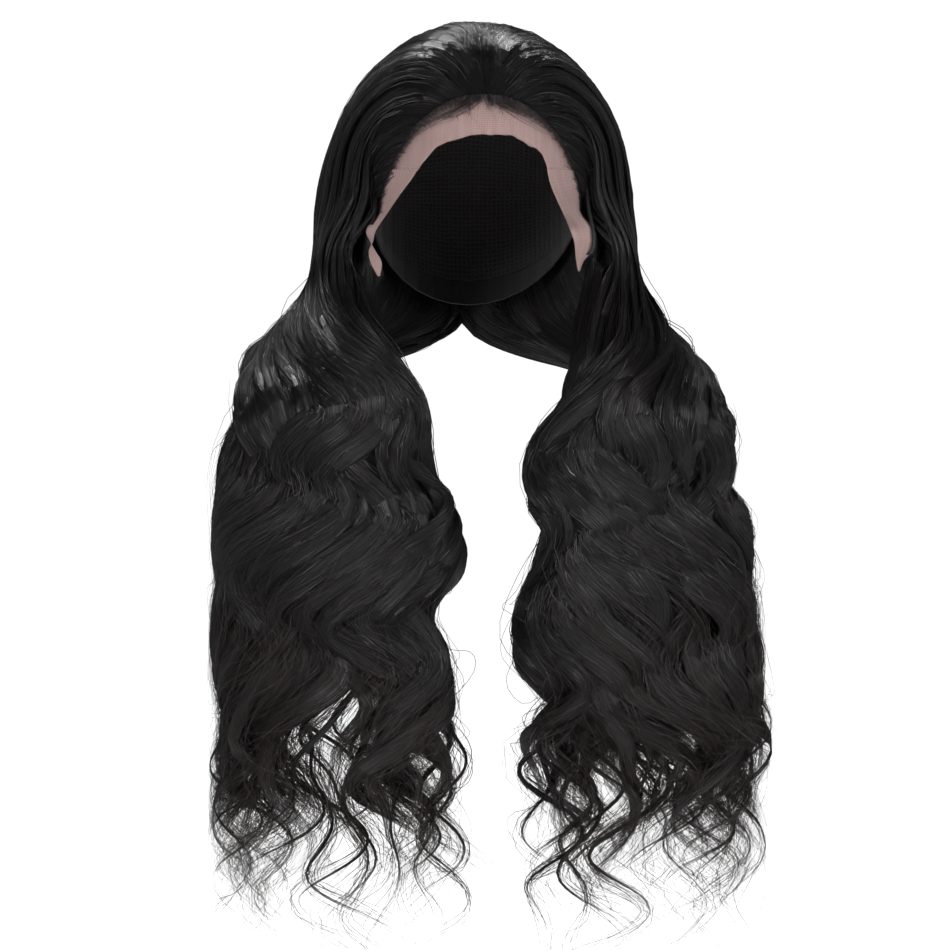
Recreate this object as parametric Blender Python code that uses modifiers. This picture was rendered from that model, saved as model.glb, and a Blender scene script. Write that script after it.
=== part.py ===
"""Long black body-wave wig on a lace front cap, in metres, +Z up, the face towards -Y.

The origin is the inside of the crown, where the cap rests on the top of a head. The cap's inner
face is half an ellipsoid over the ears and a longer half ellipsoid under them. Lace covers the
front from ear to ear, a net cap the back, and an elastic band ends it at the nape. The hair is
one shell over the crown and two long masses, each a curtain round the head that gathers into a
waved column in front of the shoulder and ends in loose curls.
"""

import math

import bpy
import numpy as np

# The head that the cap fits
HEAD_WIDTH = 0.152
HEAD_DEPTH = 0.192
CROWN_RISE = 0.104  # from the level of the ears up to the crown
NAPE_REACH = 0.150  # half height of the ellipsoid under the ears

# The cap
LACE_WALL = 0.001
CAP_WALL = 0.0012
BAND_WALL = 0.0015
BAND_HEIGHT = 0.020
SEAM_GAP = 0.0004  # between pieces that are sewn edge to edge
EAR_TURN = 80.0  # degrees from the middle out to the ear cut-outs
LACE_BACK_TURN = 103.0  # degrees round the ear axis, where lace meets net
NAPE_TURN = 203.0  # where the net ends over the band
TAB_DROP = 0.0885  # the lace seam over the ear tabs, under the crown

# The hair over the crown
HAIR_SEAT = 0.0014  # room between the cap and the hair, whose flat facets dip towards the cap
HAIRLINE_DEPTH = 0.003
TOP_DEPTH = 0.018
SIDE_DEPTH = 0.041
BACK_SHARE = 0.72  # depth of the hair at the back, as a share of that at the sides
RISE_LENGTH = 0.045  # how far from the hairline the hair reaches its full depth
CROWN_DROP = 0.120  # level under the crown where the crown hair ends and the lengths begin
CROWN_RIDGES = 22
CROWN_RIDGE = 0.0016

# The lengths
RING_TURN = 88.0  # degrees from the face round to where the hair of each side starts
HAIR_LENGTH = 0.645  # from the crown down to the longest curl
HAIR_SPREAD = 0.200  # half the width over both masses
DRAPE_REACH = 0.088  # how far the hair lies in front of the ears, over the shoulders
DRAPE_DROP = 0.265  # where the curtain has gathered into its column
NAPE_HOLD = 0.045  # how much lower the hair at the back starts on its way
SIDE_SWELL = 0.02  # how much further out the hair swings on its way there
FRONT_EDGE = 1.08  # where a column's inner edge lies, in shares of DRAPE_REACH
REAR_EDGE = 0.70  # and its outer edge
COLUMN_BOW = 0.10  # how far its middle bulges forward, as a share of its width
MASS_DEPTH = 0.042  # half the thickness of a column
LEAST_WIDTH = 0.002
EASE = 0.10  # share of the half width over which the outer edge is pressed in to its table
WAVE_LENGTH = 0.106
WAVE_ACROSS = 0.012
WAVE_OUT = 0.0050
WAVE_LAG = 0.45  # of a wave, from the face to the back
WAVE_START_RIGHT, WAVE_START_LEFT = 0.42, 0.10
LOCKS_ACROSS = 7.0  # raised locks over the outer face of each mass
LOCK_RIDGE = 0.0034
WIDE_LOCKS = 2.6  # wider swells under them, which drift round the mass as they fall
WIDE_LENGTH = 0.350
FULL_OUTLINE = 0.120  # the shorter a section's outer outline beside this, the flatter its locks
CURL_ACROSS = 0.011
CURL_LENGTH = 0.092
CURL_THICKNESS = 0.0095
PART_GAP = 0.0005  # between the two masses at the back of the head, and under the crown hair

# Front edge of the lace: place from the middle (0) to the ear (1), and how far under the crown
# the edge lies, in shares of TAB_DROP, on the right and on the left of the head.
LACE_EDGE = (
    # place, right, left
    (0.00, 0.705, 0.705),
    (0.15, 0.720, 0.705),
    (0.30, 0.790, 0.760),
    (0.42, 0.870, 0.850),
    (0.46, 0.900, 0.990),
    (0.55, 0.975, 1.000),
    (0.62, 1.000, 1.000),
    (1.00, 1.000, 1.000),
)

# The hairline: azimuth from the face, in degrees, and the drop in shares of CROWN_DROP.
HAIRLINE = (
    # azimuth, drop
    (0.0, 0.312),
    (14.0, 0.318),
    (26.0, 0.355),
    (41.0, 0.460),
    (50.0, 0.595),
    (57.0, 0.725),
    (66.0, 0.890),
    (78.0, 1.000),
)

# Depth of the crown hair from the top (0 degrees) down, as a share of SIDE_DEPTH less TOP_DEPTH.
CROWN_PROFILE = (
    # polar angle, share
    (0.0, 0.00),
    (30.0, 0.12),
    (45.0, 0.28),
    (60.0, 0.41),
    (75.0, 0.52),
    (90.0, 0.78),
    (100.0, 1.00),
)

# The column on each side: drop in shares of HAIR_LENGTH, inner and outer edge in shares of
# HAIR_SPREAD, and half thickness in shares of MASS_DEPTH.
COLUMN_RIGHT = (
    # drop, inner, outer, depth
    (0.18, 0.300, 0.605, 0.62),
    (0.23, 0.300, 0.625, 0.66),
    (0.26, 0.300, 0.650, 0.70),
    (0.28, 0.295, 0.710, 0.72),
    (0.32, 0.280, 0.780, 0.78),
    (0.35, 0.270, 0.795, 0.80),
    (0.39, 0.245, 0.850, 0.85),
    (0.43, 0.215, 0.890, 0.90),
    (0.50, 0.148, 0.925, 0.95),
    (0.55, 0.142, 0.990, 1.00),
    (0.61, 0.176, 0.980, 1.00),
    (0.66, 0.150, 0.955, 1.00),
    (0.71, 0.165, 0.935, 0.98),
    (0.77, 0.190, 0.985, 0.90),
    (0.80, 0.200, 0.900, 0.78),
    (0.83, 0.210, 0.720, 0.62),
    (0.86, 0.240, 0.540, 0.42),
    (0.88, 0.290, 0.420, 0.18),
)
COLUMN_LEFT = (
    # drop, inner, outer, depth
    (0.18, 0.300, 0.585, 0.62),
    (0.25, 0.290, 0.605, 0.68),
    (0.28, 0.265, 0.670, 0.72),
    (0.30, 0.255, 0.705, 0.75),
    (0.33, 0.240, 0.710, 0.78),
    (0.36, 0.230, 0.780, 0.82),
    (0.39, 0.220, 0.820, 0.85),
    (0.44, 0.180, 0.855, 0.90),
    (0.50, 0.190, 0.890, 0.95),
    (0.54, 0.160, 0.925, 0.98),
    (0.57, 0.150, 0.920, 1.00),
    (0.61, 0.146, 0.995, 1.00),
    (0.66, 0.170, 1.045, 1.00),
    (0.70, 0.204, 0.985, 1.00),
    (0.73, 0.270, 0.935, 0.96),
    (0.78, 0.360, 0.990, 0.86),
    (0.81, 0.400, 0.960, 0.74),
    (0.84, 0.430, 0.860, 0.60),
    (0.865, 0.500, 0.780, 0.42),
    (0.885, 0.570, 0.700, 0.18),
)

# Loose curls: where each one leaves its column from the inner (0) to the outer edge (1) and from
# the back (-1) to the front (1), how far down it starts and ends in shares of HAIR_LENGTH, how
# far it drifts outwards in shares of HAIR_SPREAD, the turn its wave starts at, and its girth in
# shares of CURL_THICKNESS.
CURLS_RIGHT = (
    # across, forward, start, end, drift, turn, girth
    (0.00, 0.2, 0.74, 0.920, -0.10, 0.0, 1.00),
    (0.10, 0.7, 0.76, 0.955, -0.20, 0.5, 1.10),
    (0.30, -0.5, 0.74, 0.970, -0.05, 0.2, 1.30),
    (0.42, 0.8, 0.74, 1.000, 0.02, 0.7, 1.30),
    (0.60, 0.0, 0.72, 0.960, -0.04, 0.4, 1.40),
    (0.72, 0.8, 0.72, 0.985, 0.06, 0.0, 1.20),
    (0.88, -0.4, 0.70, 0.940, -0.06, 0.6, 1.30),
    (0.98, 0.4, 0.68, 1.000, -0.04, 0.3, 1.20),
)
CURLS_LEFT = (
    # across, forward, start, end, drift, turn, girth
    (0.00, 0.3, 0.64, 0.860, -0.20, 0.5, 0.90),
    (0.08, -0.3, 0.68, 0.930, -0.08, 0.1, 1.10),
    (0.25, 0.8, 0.72, 1.000, 0.00, 0.6, 1.30),
    (0.40, -0.5, 0.74, 0.950, 0.06, 0.3, 1.30),
    (0.58, 0.7, 0.74, 1.000, 0.08, 0.0, 1.40),
    (0.72, 0.0, 0.72, 0.930, 0.10, 0.7, 1.30),
    (0.90, 0.5, 0.70, 0.920, 0.12, 0.4, 1.20),
    (0.98, -0.4, 0.68, 0.880, 0.02, 0.8, 1.20),
)

# Ear tabs. The part on the head: drop in shares of TAB_DROP, and the front and rear edges as
# the sine of the angle out towards the ear.
TAB_LEFT_SEATED = (
    # drop, front, rear
    (1.00, 0.60, 0.84),
    (1.15, 0.67, 0.90),
    (1.32, 0.75, 0.95),
)
TAB_RIGHT_SEATED = (
    # drop, front, rear
    (1.00, 0.76, 0.94),
    (1.15, 0.77, 0.92),
    (1.33, 0.93, 0.96),
)
# The loose part under it: drop in shares of TAB_DROP, both edges outwards in shares of half
# HEAD_WIDTH and forwards in shares of half HEAD_DEPTH, and the bow between them in shares of
# half HEAD_WIDTH.
TAB_LEFT_LOOSE = (
    # drop, front out, front ahead, rear out, rear ahead, bow
    (1.52, 0.85, 0.50, 1.08, 0.42, 0.03),
    (1.60, 0.865, 0.49, 1.05, 0.43, 0.02),
    (1.70, 0.88, 0.48, 0.96, 0.45, 0.01),
    (1.79, 0.90, 0.47, 0.915, 0.465, 0.0),
)
TAB_RIGHT_LOOSE = (
    # drop, front out, front ahead, rear out, rear ahead, bow
    (1.46, 0.98, 0.50, 1.07, 0.44, 0.0),
    (1.56, 1.02, 0.61, 1.04, 0.56, 0.0),
    (1.64, 1.06, 0.68, 1.00, 0.71, 0.0),
    (1.73, 1.05, 0.78, 0.95, 0.81, 0.0),
    (1.84, 0.99, 0.87, 0.97, 0.88, 0.0),
)

LACE_STEPS = (24, 8)
TAB_POINTS = 5
NET_STEPS = (16, 9)
CROWN_STEPS = (48, 9)
COLUMN_STEPS = 34
OUTER_POINTS, INNER_POINTS = 33, 7

BLACK_HAIR = ((0.012, 0.011, 0.013), 0.38)
BROWN_LACE = ((0.42, 0.27, 0.21), 0.75)
DARK_NET = ((0.02, 0.018, 0.018), 0.85)
BLACK_ELASTIC = ((0.015, 0.015, 0.016), 0.9)


def clear_scene():
    for old in list(bpy.data.objects):
        bpy.data.objects.remove(old)


def smooth(share):
    share = np.clip(share, 0.0, 1.0)
    return share * share * (3.0 - 2.0 * share)


def column_of(table, index):
    return np.array([row[index] for row in table])


def read(table, index, at):
    """Value of a table's column at a place in its first column, along straight lines."""
    return np.interp(at, column_of(table, 0), column_of(table, index))


def material(name, finish):
    colour, roughness = finish
    made = bpy.data.materials.new(name)
    made.use_nodes = True
    shader = made.node_tree.nodes["Principled BSDF"]
    shader.inputs["Base Color"].default_value = (*colour, 1.0)
    shader.inputs["Roughness"].default_value = roughness
    shader.inputs["Metallic"].default_value = 0.0
    return made


def add_mesh(name, points, faces, finish, collection):
    mesh = bpy.data.meshes.new(name)
    mesh.from_pydata([tuple(point) for point in points], [], faces)
    mesh.update()
    mesh.shade_smooth()
    mesh.materials.append(finish)
    made = bpy.data.objects.new(name, mesh)
    collection.objects.link(made)
    return made


def grid_faces(rows, columns):
    """Faces of a sheet whose points are stored row by row."""
    return [
        (r * columns + c, r * columns + c + 1, (r + 1) * columns + c + 1, (r + 1) * columns + c)
        for r in range(rows - 1)
        for c in range(columns - 1)
    ]


def sheet(name, points, wall, finish, collection):
    """A cloth wall of one thickness, laid outwards on a grid of points."""
    rows, columns = points.shape[:2]
    made = add_mesh(name, points.reshape(-1, 3), grid_faces(rows, columns), finish, collection)
    solidify = made.modifiers.new("wall", "SOLIDIFY")
    solidify.thickness = wall
    solidify.offset = 1.0
    solidify.use_even_offset = True
    return made


def loft(name, rings, finish, collection):
    """A closed skin through rings of points, with a flat face at each end."""
    count, sides = rings.shape[:2]
    faces = [
        (
            i * sides + j,
            i * sides + (j + 1) % sides,
            (i + 1) * sides + (j + 1) % sides,
            (i + 1) * sides + j,
        )
        for i in range(count - 1)
        for j in range(sides)
    ]
    faces.append(tuple(range(sides))[::-1])
    faces.append(tuple(range((count - 1) * sides, count * sides)))
    return add_mesh(name, rings.reshape(-1, 3), faces, finish, collection)


def on_head(direction, lift):
    """The point of the head's surface in a unit direction from its middle, moved out by lift."""
    direction = np.asarray(direction, float)
    upright = np.where(direction[..., 2] >= 0.0, CROWN_RISE, NAPE_REACH)
    radii = np.stack(
        [np.full_like(upright, HEAD_WIDTH / 2), np.full_like(upright, HEAD_DEPTH / 2), upright], -1
    )
    point = direction * radii
    normal = point / radii**2
    normal /= np.linalg.norm(normal, axis=-1, keepdims=True)
    return point + normal * np.asarray(lift)[..., None] - np.array([0.0, 0.0, CROWN_RISE])


def round_ears(across, turn):
    """Unit direction at an angle out towards an ear and a turn round the ear axis, from the face."""
    across, turn = np.radians(across), np.radians(turn)
    return np.stack(
        [np.sin(across), -np.cos(across) * np.cos(turn), np.cos(across) * np.sin(turn)], -1
    )


def round_crown(azimuth, polar):
    """Unit direction at an azimuth from the face and an angle down from the crown."""
    azimuth, polar = np.radians(azimuth), np.radians(polar)
    return np.stack(
        [np.sin(polar) * np.sin(azimuth), -np.sin(polar) * np.cos(azimuth), np.cos(polar)], -1
    )


def polar_at(drop):
    """Angle down from the crown of the head's surface at a drop under it, in degrees."""
    rise = CROWN_RISE - np.asarray(drop)
    upright = np.where(rise >= 0.0, CROWN_RISE, NAPE_REACH)
    return np.degrees(np.arccos(np.clip(rise / upright, -1.0, 1.0)))


def lace_edge_turn(across):
    """Turn round the ear axis of the lace's cut edge, at an angle out towards an ear."""
    place = np.abs(np.sin(np.radians(across)))
    right, left = read(LACE_EDGE, 1, place), read(LACE_EDGE, 2, place)
    drop = np.where(across < 0.0, right, left) * TAB_DROP
    rise = (CROWN_RISE - drop) / (CROWN_RISE * np.cos(np.radians(across)))
    return np.degrees(np.arcsin(np.clip(rise, -1.0, 1.0)))


def cap_grid(first_turn, last_turn, steps):
    """Points on the head from one turn round the ear axis to another, between the ear cut-outs."""
    across = np.linspace(-EAR_TURN, EAR_TURN, steps[0] + 1)
    share = np.linspace(0.0, 1.0, steps[1] + 1)[:, None]
    turn = first_turn(across) * (1.0 - share) + last_turn(across) * share
    direction = round_ears(np.broadcast_to(across, turn.shape), turn)
    return on_head(direction, np.zeros(turn.shape))


def constant(turn):
    return lambda across: np.full_like(across, turn)


def build_cap(collection, lace, net, elastic):
    half_gap = math.degrees(SEAM_GAP / 2 / CROWN_RISE)
    front = cap_grid(lace_edge_turn, constant(LACE_BACK_TURN - half_gap), LACE_STEPS)
    sheet("lace_front", front, LACE_WALL, lace, collection)
    back = cap_grid(constant(LACE_BACK_TURN + half_gap), constant(NAPE_TURN - half_gap), NET_STEPS)
    sheet("net_cap", back, CAP_WALL, net, collection)
    band_turn = math.degrees(BAND_HEIGHT / NAPE_REACH)
    band = cap_grid(
        constant(NAPE_TURN + half_gap), constant(NAPE_TURN + band_turn), (NET_STEPS[0], 1)
    )
    sheet("nape_band", band, BAND_WALL, elastic, collection)


def tab_points(seated, loose, side):
    """Rows of a lace tab, on the head under the seam and hanging loose below it."""
    share = np.linspace(0.0, 1.0, TAB_POINTS)
    rows = []
    for drop, front, rear in seated:
        across = np.arcsin(front + (rear - front) * share)
        rise = (CROWN_RISE - drop * TAB_DROP - SEAM_GAP) / CROWN_RISE
        turn = np.arcsin(rise / np.cos(across))
        direction = round_ears(np.degrees(across), np.degrees(turn))
        rows.append(on_head(direction, np.zeros(TAB_POINTS)))
    for drop, front_out, front_ahead, rear_out, rear_ahead, bow in loose:
        out = front_out + (rear_out - front_out) * share + bow * 4.0 * share * (1.0 - share)
        ahead = front_ahead + (rear_ahead - front_ahead) * share
        down = np.full(TAB_POINTS, -drop * TAB_DROP)
        rows.append(np.column_stack([out * HEAD_WIDTH / 2, -ahead * HEAD_DEPTH / 2, down]))
    points = np.array(rows[::-1])
    points[..., 0] *= side
    return points if side > 0 else points[:, ::-1]


def build_tabs(collection, lace):
    left = tab_points(TAB_LEFT_SEATED, TAB_LEFT_LOOSE, 1.0)
    sheet("ear_tab_left", left, LACE_WALL, lace, collection)
    right = tab_points(TAB_RIGHT_SEATED, TAB_RIGHT_LOOSE, -1.0)
    sheet("ear_tab_right", right, LACE_WALL, lace, collection)


def hairline_points():
    """The hairline on the head, close together, on both sides of the face."""
    azimuth = np.linspace(-HAIRLINE[-1][0], HAIRLINE[-1][0], 60)
    drop = read(HAIRLINE, 1, np.abs(azimuth)) * CROWN_DROP
    return on_head(round_crown(azimuth, polar_at(drop)), np.zeros(len(azimuth)))


def full_depth(azimuth, polar):
    """Depth of the hair over the cap away from the hairline."""
    depth = TOP_DEPTH + (SIDE_DEPTH - TOP_DEPTH) * read(CROWN_PROFILE, 1, polar)
    behind = smooth((np.abs(azimuth) - 90.0) / 90.0)
    low = smooth(polar / 90.0)
    return depth * (1.0 - (1.0 - BACK_SHARE) * behind * low)


def crown_depth(azimuth, polar):
    """Depth of the crown hair: thin at the hairline, full behind it, in ridges that fan back."""
    seat = on_head(round_crown(azimuth, polar), np.zeros(np.shape(azimuth)))
    away = np.linalg.norm(seat[..., None, :] - hairline_points(), axis=-1).min(-1)
    risen = smooth(away / RISE_LENGTH)
    fan = np.arctan2(seat[..., 0], seat[..., 1] + HEAD_DEPTH / 2)
    ridge = CROWN_RIDGE * np.cos(CROWN_RIDGES * fan) * risen * smooth(polar / 45.0)
    full = full_depth(azimuth, polar)
    return HAIRLINE_DEPTH + (full - HAIRLINE_DEPTH) * risen + ridge


def build_crown(collection, hair):
    columns, rows = CROWN_STEPS
    azimuth = np.linspace(-180.0, 180.0, columns, endpoint=False)
    azimuth += 180.0 / columns
    rim_drop = read(HAIRLINE, 1, np.abs(azimuth)) * CROWN_DROP
    share = np.linspace(0.0, 1.0, rows + 1)[1:, None]
    polar = share * polar_at(rim_drop)
    azimuth = np.broadcast_to(azimuth, polar.shape)
    seat = max(CAP_WALL, LACE_WALL) + HAIR_SEAT
    inner = on_head(round_crown(azimuth, polar), np.full(polar.shape, seat))
    depth = crown_depth(azimuth, polar)
    outer = on_head(round_crown(azimuth, polar), seat + depth)
    behind = np.abs(azimuth[-1]) >= HAIRLINE[-1][0]
    for skin in (inner, outer):
        skin[-1, behind, 2] = -CROWN_DROP
    top = np.array([[0.0, 0.0, seat], [0.0, 0.0, seat + TOP_DEPTH]])
    points = np.concatenate([top, inner.reshape(-1, 3), outer.reshape(-1, 3)])
    first_inner, first_outer = 2, 2 + rows * columns
    faces = []
    for j in range(columns):
        k = (j + 1) % columns
        faces.append((0, first_inner + k, first_inner + j))
        faces.append((1, first_outer + j, first_outer + k))
        for i in range(rows - 1):
            a, b = i * columns, (i + 1) * columns
            faces.append(tuple(first_inner + n for n in (a + k, b + k, b + j, a + j)))
            faces.append(tuple(first_outer + n for n in (a + j, b + j, b + k, a + k)))
        under, over = first_inner + (rows - 1) * columns, first_outer + (rows - 1) * columns
        faces.append((under + j, under + k, over + k, over + j))
    add_mesh("crown_hair", points, faces, hair, collection)


def ring_middle(along):
    """Middle of the hair round the head where the lengths begin, from the temple to the back."""
    end_depth = full_depth(180.0, 90.0) / 2
    reach = HEAD_DEPTH / 2 + CAP_WALL + HAIR_SEAT + end_depth
    last = 180.0 - math.degrees(math.asin((end_depth + PART_GAP) / reach))
    azimuth = RING_TURN + along * (last - RING_TURN)
    polar = np.full_like(azimuth, float(polar_at(CROWN_DROP)))
    lift = CAP_WALL + HAIR_SEAT + full_depth(azimuth, polar) / 2
    return on_head(round_crown(azimuth, polar), lift)[..., :2]


def column_middle(table, along, drop):
    """Middle of a column in plan, a flat bow from its inner front edge to its outer back edge."""
    share = drop / HAIR_LENGTH
    depth = read(table, 3, share) * MASS_DEPTH
    inner = read(table, 1, share) * HAIR_SPREAD + depth
    outer = read(table, 2, share) * HAIR_SPREAD - depth
    outer = np.maximum(outer, inner + LEAST_WIDTH)
    start = np.stack([inner, np.full_like(inner, -FRONT_EDGE * DRAPE_REACH)], -1)
    end = np.stack([outer, np.full_like(inner, -REAR_EDGE * DRAPE_REACH)], -1)
    bow = np.stack([np.zeros_like(inner), COLUMN_BOW * (outer - inner)], -1)
    control = (start + end) / 2 - 2.0 * bow
    along = along[..., None]
    return (1 - along) ** 2 * start + 2 * along * (1 - along) * control + along**2 * end


def gathered(along, drop):
    """How far the curtain round the head has gathered into its column, from 0 to 1.

    The hair at the back hangs over the nape before it turns forward.
    """
    start = CROWN_DROP + NAPE_HOLD * along
    return smooth((drop - start) / (DRAPE_DROP - start))


def mass_middle(table, along, drop):
    """Middle of a hair mass. It leaves the ring straight down at the face and round the head behind."""
    share = gathered(along, drop)
    ring, column = ring_middle(along), column_middle(table, along, drop)
    straight = ring + (column - ring) * np.sqrt(share)[:, None]
    turn = [np.unwrap(np.arctan2(at[..., 0], -at[..., 1])) for at in (ring, column)]
    radius = [np.linalg.norm(at, axis=-1) for at in (ring, column)]
    turn = turn[0] * (1.0 - share) + turn[1] * share
    radius = radius[0] * (1.0 - share) + radius[1] * share
    radius = radius * (1.0 + SIDE_SWELL * np.sin(math.pi * np.sqrt(share)))
    round_head = np.stack([radius * np.sin(turn), -radius * np.cos(turn)], -1)
    behind = smooth(along * 2.0)[:, None]
    return straight * (1.0 - behind) + round_head * behind


def mass_depth(table, along, drop):
    share = gathered(along, drop)
    azimuth = RING_TURN + along * (180.0 - RING_TURN)
    ring = full_depth(azimuth, np.full_like(azimuth, 90.0)) / 2
    return ring * (1.0 - share) + read(table, 3, drop / HAIR_LENGTH) * MASS_DEPTH * share


def wave_turn(along, drop, side):
    """Phase of the body wave. Locks further back run a little ahead of those at the face."""
    start = WAVE_START_LEFT if side > 0 else WAVE_START_RIGHT
    return 2.0 * math.pi * (drop / WAVE_LENGTH + WAVE_LAG * along + start)


def outline(table, drop, place):
    """Point and outward normal in plan on a section's rounded outline.

    The place runs from 0 at the tip of the front end over the outer face to 1 at the tip of the
    rear end, and on over the inner face to 2.
    """
    fine = np.linspace(0.0, 1.0, 41)
    line = mass_middle(table, fine, np.full_like(fine, drop))
    length = np.concatenate([[0.0], np.cumsum(np.linalg.norm(np.diff(line, axis=0), axis=1))])
    thick = mass_depth(table, fine, np.full_like(fine, drop))
    bend = math.pi / 2 * thick[[0, -1]]
    half = bend[0] + length[-1] + bend[1]
    face = np.where(place <= 1.0, 1.0, -1.0)
    run = np.where(place <= 1.0, place, 2.0 - place) * half - bend[0]
    along = np.interp(run, length, fine)
    angle = np.clip(run, -bend[0], 0.0) / thick[0]
    angle = angle + np.clip(run - length[-1], 0.0, bend[1]) / thick[-1]
    tangent = np.gradient(line, fine, axis=0)
    tangent = np.stack([np.interp(along, fine, tangent[:, axis]) for axis in (0, 1)], -1)
    tangent /= np.linalg.norm(tangent, axis=-1, keepdims=True)
    across = np.stack([tangent[:, 1], -tangent[:, 0]], -1) * face[:, None]
    normal = across * np.cos(angle)[:, None] + tangent * np.sin(angle)[:, None]
    middle = np.stack([np.interp(along, fine, line[:, axis]) for axis in (0, 1)], -1)
    return middle + normal * np.interp(along, fine, thick)[:, None], normal, along, half


def eased(out, limit):
    """The distance out, pressed in softly so that it stays within a limit."""
    start = (1.0 - EASE) * limit
    over = np.maximum(out - start, 0.0)
    return np.minimum(out, start) + EASE * limit * (1.0 - np.exp(-over / (EASE * limit)))


def mass_ring(table, side, drop):
    """One section of a hair mass: locks over its outer face and ends, a plain inner face."""
    outer = np.linspace(0.0, 1.0, OUTER_POINTS)
    inner = np.linspace(1.0, 2.0, INNER_POINTS + 2)[1:-1]
    place = np.concatenate([outer, inner])
    over = np.sin(math.pi * place).clip(0.0)
    wave = smooth(1.2 * gathered(0.0, drop))
    half = outline(table, drop, place)[3]
    full = math.tanh(half / FULL_OUTLINE)
    turn = wave_turn(place, drop, side)
    shifted = place + WAVE_ACROSS / half * wave * full * np.sin(turn) * over
    point, normal, along, half = outline(table, drop, shifted)
    crest = np.cos(2.0 * math.pi * LOCKS_ACROSS * place)
    swell = np.cos(2.0 * math.pi * (WIDE_LOCKS * place + drop / WIDE_LENGTH))
    ridge = LOCK_RIDGE * (crest + swell) * (0.4 + 0.6 * wave)
    lift = full * smooth(over * 2.0) * (ridge + WAVE_OUT * wave * np.cos(turn))
    plan = point + normal * lift[:, None]
    limit = read(table, 2, drop / HAIR_LENGTH) * HAIR_SPREAD
    plan[:, 0] = eased(np.maximum(plan[:, 0], PART_GAP / 2), limit)
    points = np.column_stack([plan, np.full_like(place, -drop)])
    points[:, 0] *= side
    return points if side < 0 else points[::-1]


def curl_ring(table, row, side, share, angles):
    """One section of a loose curl, which sways more and thins out towards its tip."""
    across, forward, start, finish, drift, turn, girth = row
    at = start + (finish - start) * share
    drop = at * HAIR_LENGTH
    held = np.array([start]) * HAIR_LENGTH
    middle = mass_middle(table, np.array([across]), held)[0]
    depth = mass_depth(table, np.array([across]), held)[0]
    sway = CURL_ACROSS * smooth(share)
    phase = 2.0 * math.pi * (drop / CURL_LENGTH + turn)
    centre = np.array(
        [
            middle[0] + drift * HAIR_SPREAD * share**1.3 + sway * math.sin(phase),
            middle[1] - forward * depth * 0.5 + 0.6 * sway * math.cos(phase),
            -drop,
        ]
    )
    radius = girth * CURL_THICKNESS * (1.0 - 0.86 * share**1.5)
    lean = 0.6 * math.cos(phase)
    ring = np.column_stack(
        [radius * np.cos(angles), radius * 0.8 * np.sin(angles), radius * lean * np.cos(angles)]
    )
    points = centre + ring
    points[:, 0] *= side
    return points if side < 0 else points[::-1]


def build_mass(name, table, curls, side, hair, collection, helpers):
    """One hair mass: its curtain and column, with the loose curls fused to it."""
    first = CROWN_DROP + PART_GAP
    last = table[-1][0] * HAIR_LENGTH
    drops = np.linspace(first, last, COLUMN_STEPS)
    rings = np.array([mass_ring(table, side, drop) for drop in drops])
    mass = loft(name, rings, hair, collection)
    angles = np.linspace(0.0, 2.0 * math.pi, 6, endpoint=False)
    for number, row in enumerate(curls):
        shares = np.linspace(0.0, 1.0, 15)
        tube = np.array([curl_ring(table, row, side, share, angles) for share in shares])
        curl = loft(f"{name}_curl_{number + 1}", tube, hair, helpers)
        curl.hide_render = True
        curl.display_type = "WIRE"
        union = mass.modifiers.new(f"curl_{number + 1}", "BOOLEAN")
        union.operation = "UNION"
        union.solver = "EXACT"
        union.object = curl
    return mass


def build():
    clear_scene()
    wig = bpy.data.collections.new("lace_front_wig")
    helpers = bpy.data.collections.new("curls_before_fusing")
    for collection in (wig, helpers):
        bpy.context.scene.collection.children.link(collection)
    hair = material("black_hair", BLACK_HAIR)
    lace = material("brown_lace", BROWN_LACE)
    net = material("dark_net", DARK_NET)
    elastic = material("black_elastic", BLACK_ELASTIC)
    build_cap(wig, lace, net, elastic)
    build_tabs(wig, lace)
    build_crown(wig, hair)
    build_mass("hair_left", COLUMN_LEFT, CURLS_LEFT, 1.0, hair, wig, helpers)
    build_mass("hair_right", COLUMN_RIGHT, CURLS_RIGHT, -1.0, hair, wig, helpers)


build()
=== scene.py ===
# %% [markdown]
# # A long body-wave wig on a lace front cap
#
# The solids of the wig arrive as a fixed frame. Everything here is laid over them: the hair is
# drawn as locks and strands that follow the same flow as the solids, and the cap as fine cloth.

import math

import bpy
import numpy as np
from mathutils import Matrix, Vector


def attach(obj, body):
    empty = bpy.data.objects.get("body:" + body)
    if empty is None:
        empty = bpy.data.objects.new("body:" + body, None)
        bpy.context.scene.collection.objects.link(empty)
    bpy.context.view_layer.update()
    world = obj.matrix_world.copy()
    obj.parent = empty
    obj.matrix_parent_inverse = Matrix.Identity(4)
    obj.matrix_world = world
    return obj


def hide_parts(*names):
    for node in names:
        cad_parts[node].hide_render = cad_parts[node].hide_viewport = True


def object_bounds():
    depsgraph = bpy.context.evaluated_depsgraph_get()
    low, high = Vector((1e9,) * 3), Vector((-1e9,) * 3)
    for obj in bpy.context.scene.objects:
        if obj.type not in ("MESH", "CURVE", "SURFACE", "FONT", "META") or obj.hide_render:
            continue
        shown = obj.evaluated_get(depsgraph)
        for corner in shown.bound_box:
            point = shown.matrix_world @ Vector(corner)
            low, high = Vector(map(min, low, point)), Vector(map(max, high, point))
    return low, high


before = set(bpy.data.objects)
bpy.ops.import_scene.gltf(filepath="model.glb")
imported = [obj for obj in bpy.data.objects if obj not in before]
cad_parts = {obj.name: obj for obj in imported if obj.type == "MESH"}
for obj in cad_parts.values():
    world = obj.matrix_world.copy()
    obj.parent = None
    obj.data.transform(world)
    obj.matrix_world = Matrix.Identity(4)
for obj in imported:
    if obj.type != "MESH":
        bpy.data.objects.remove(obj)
cad_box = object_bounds()
print("solids:", sorted(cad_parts))

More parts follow.
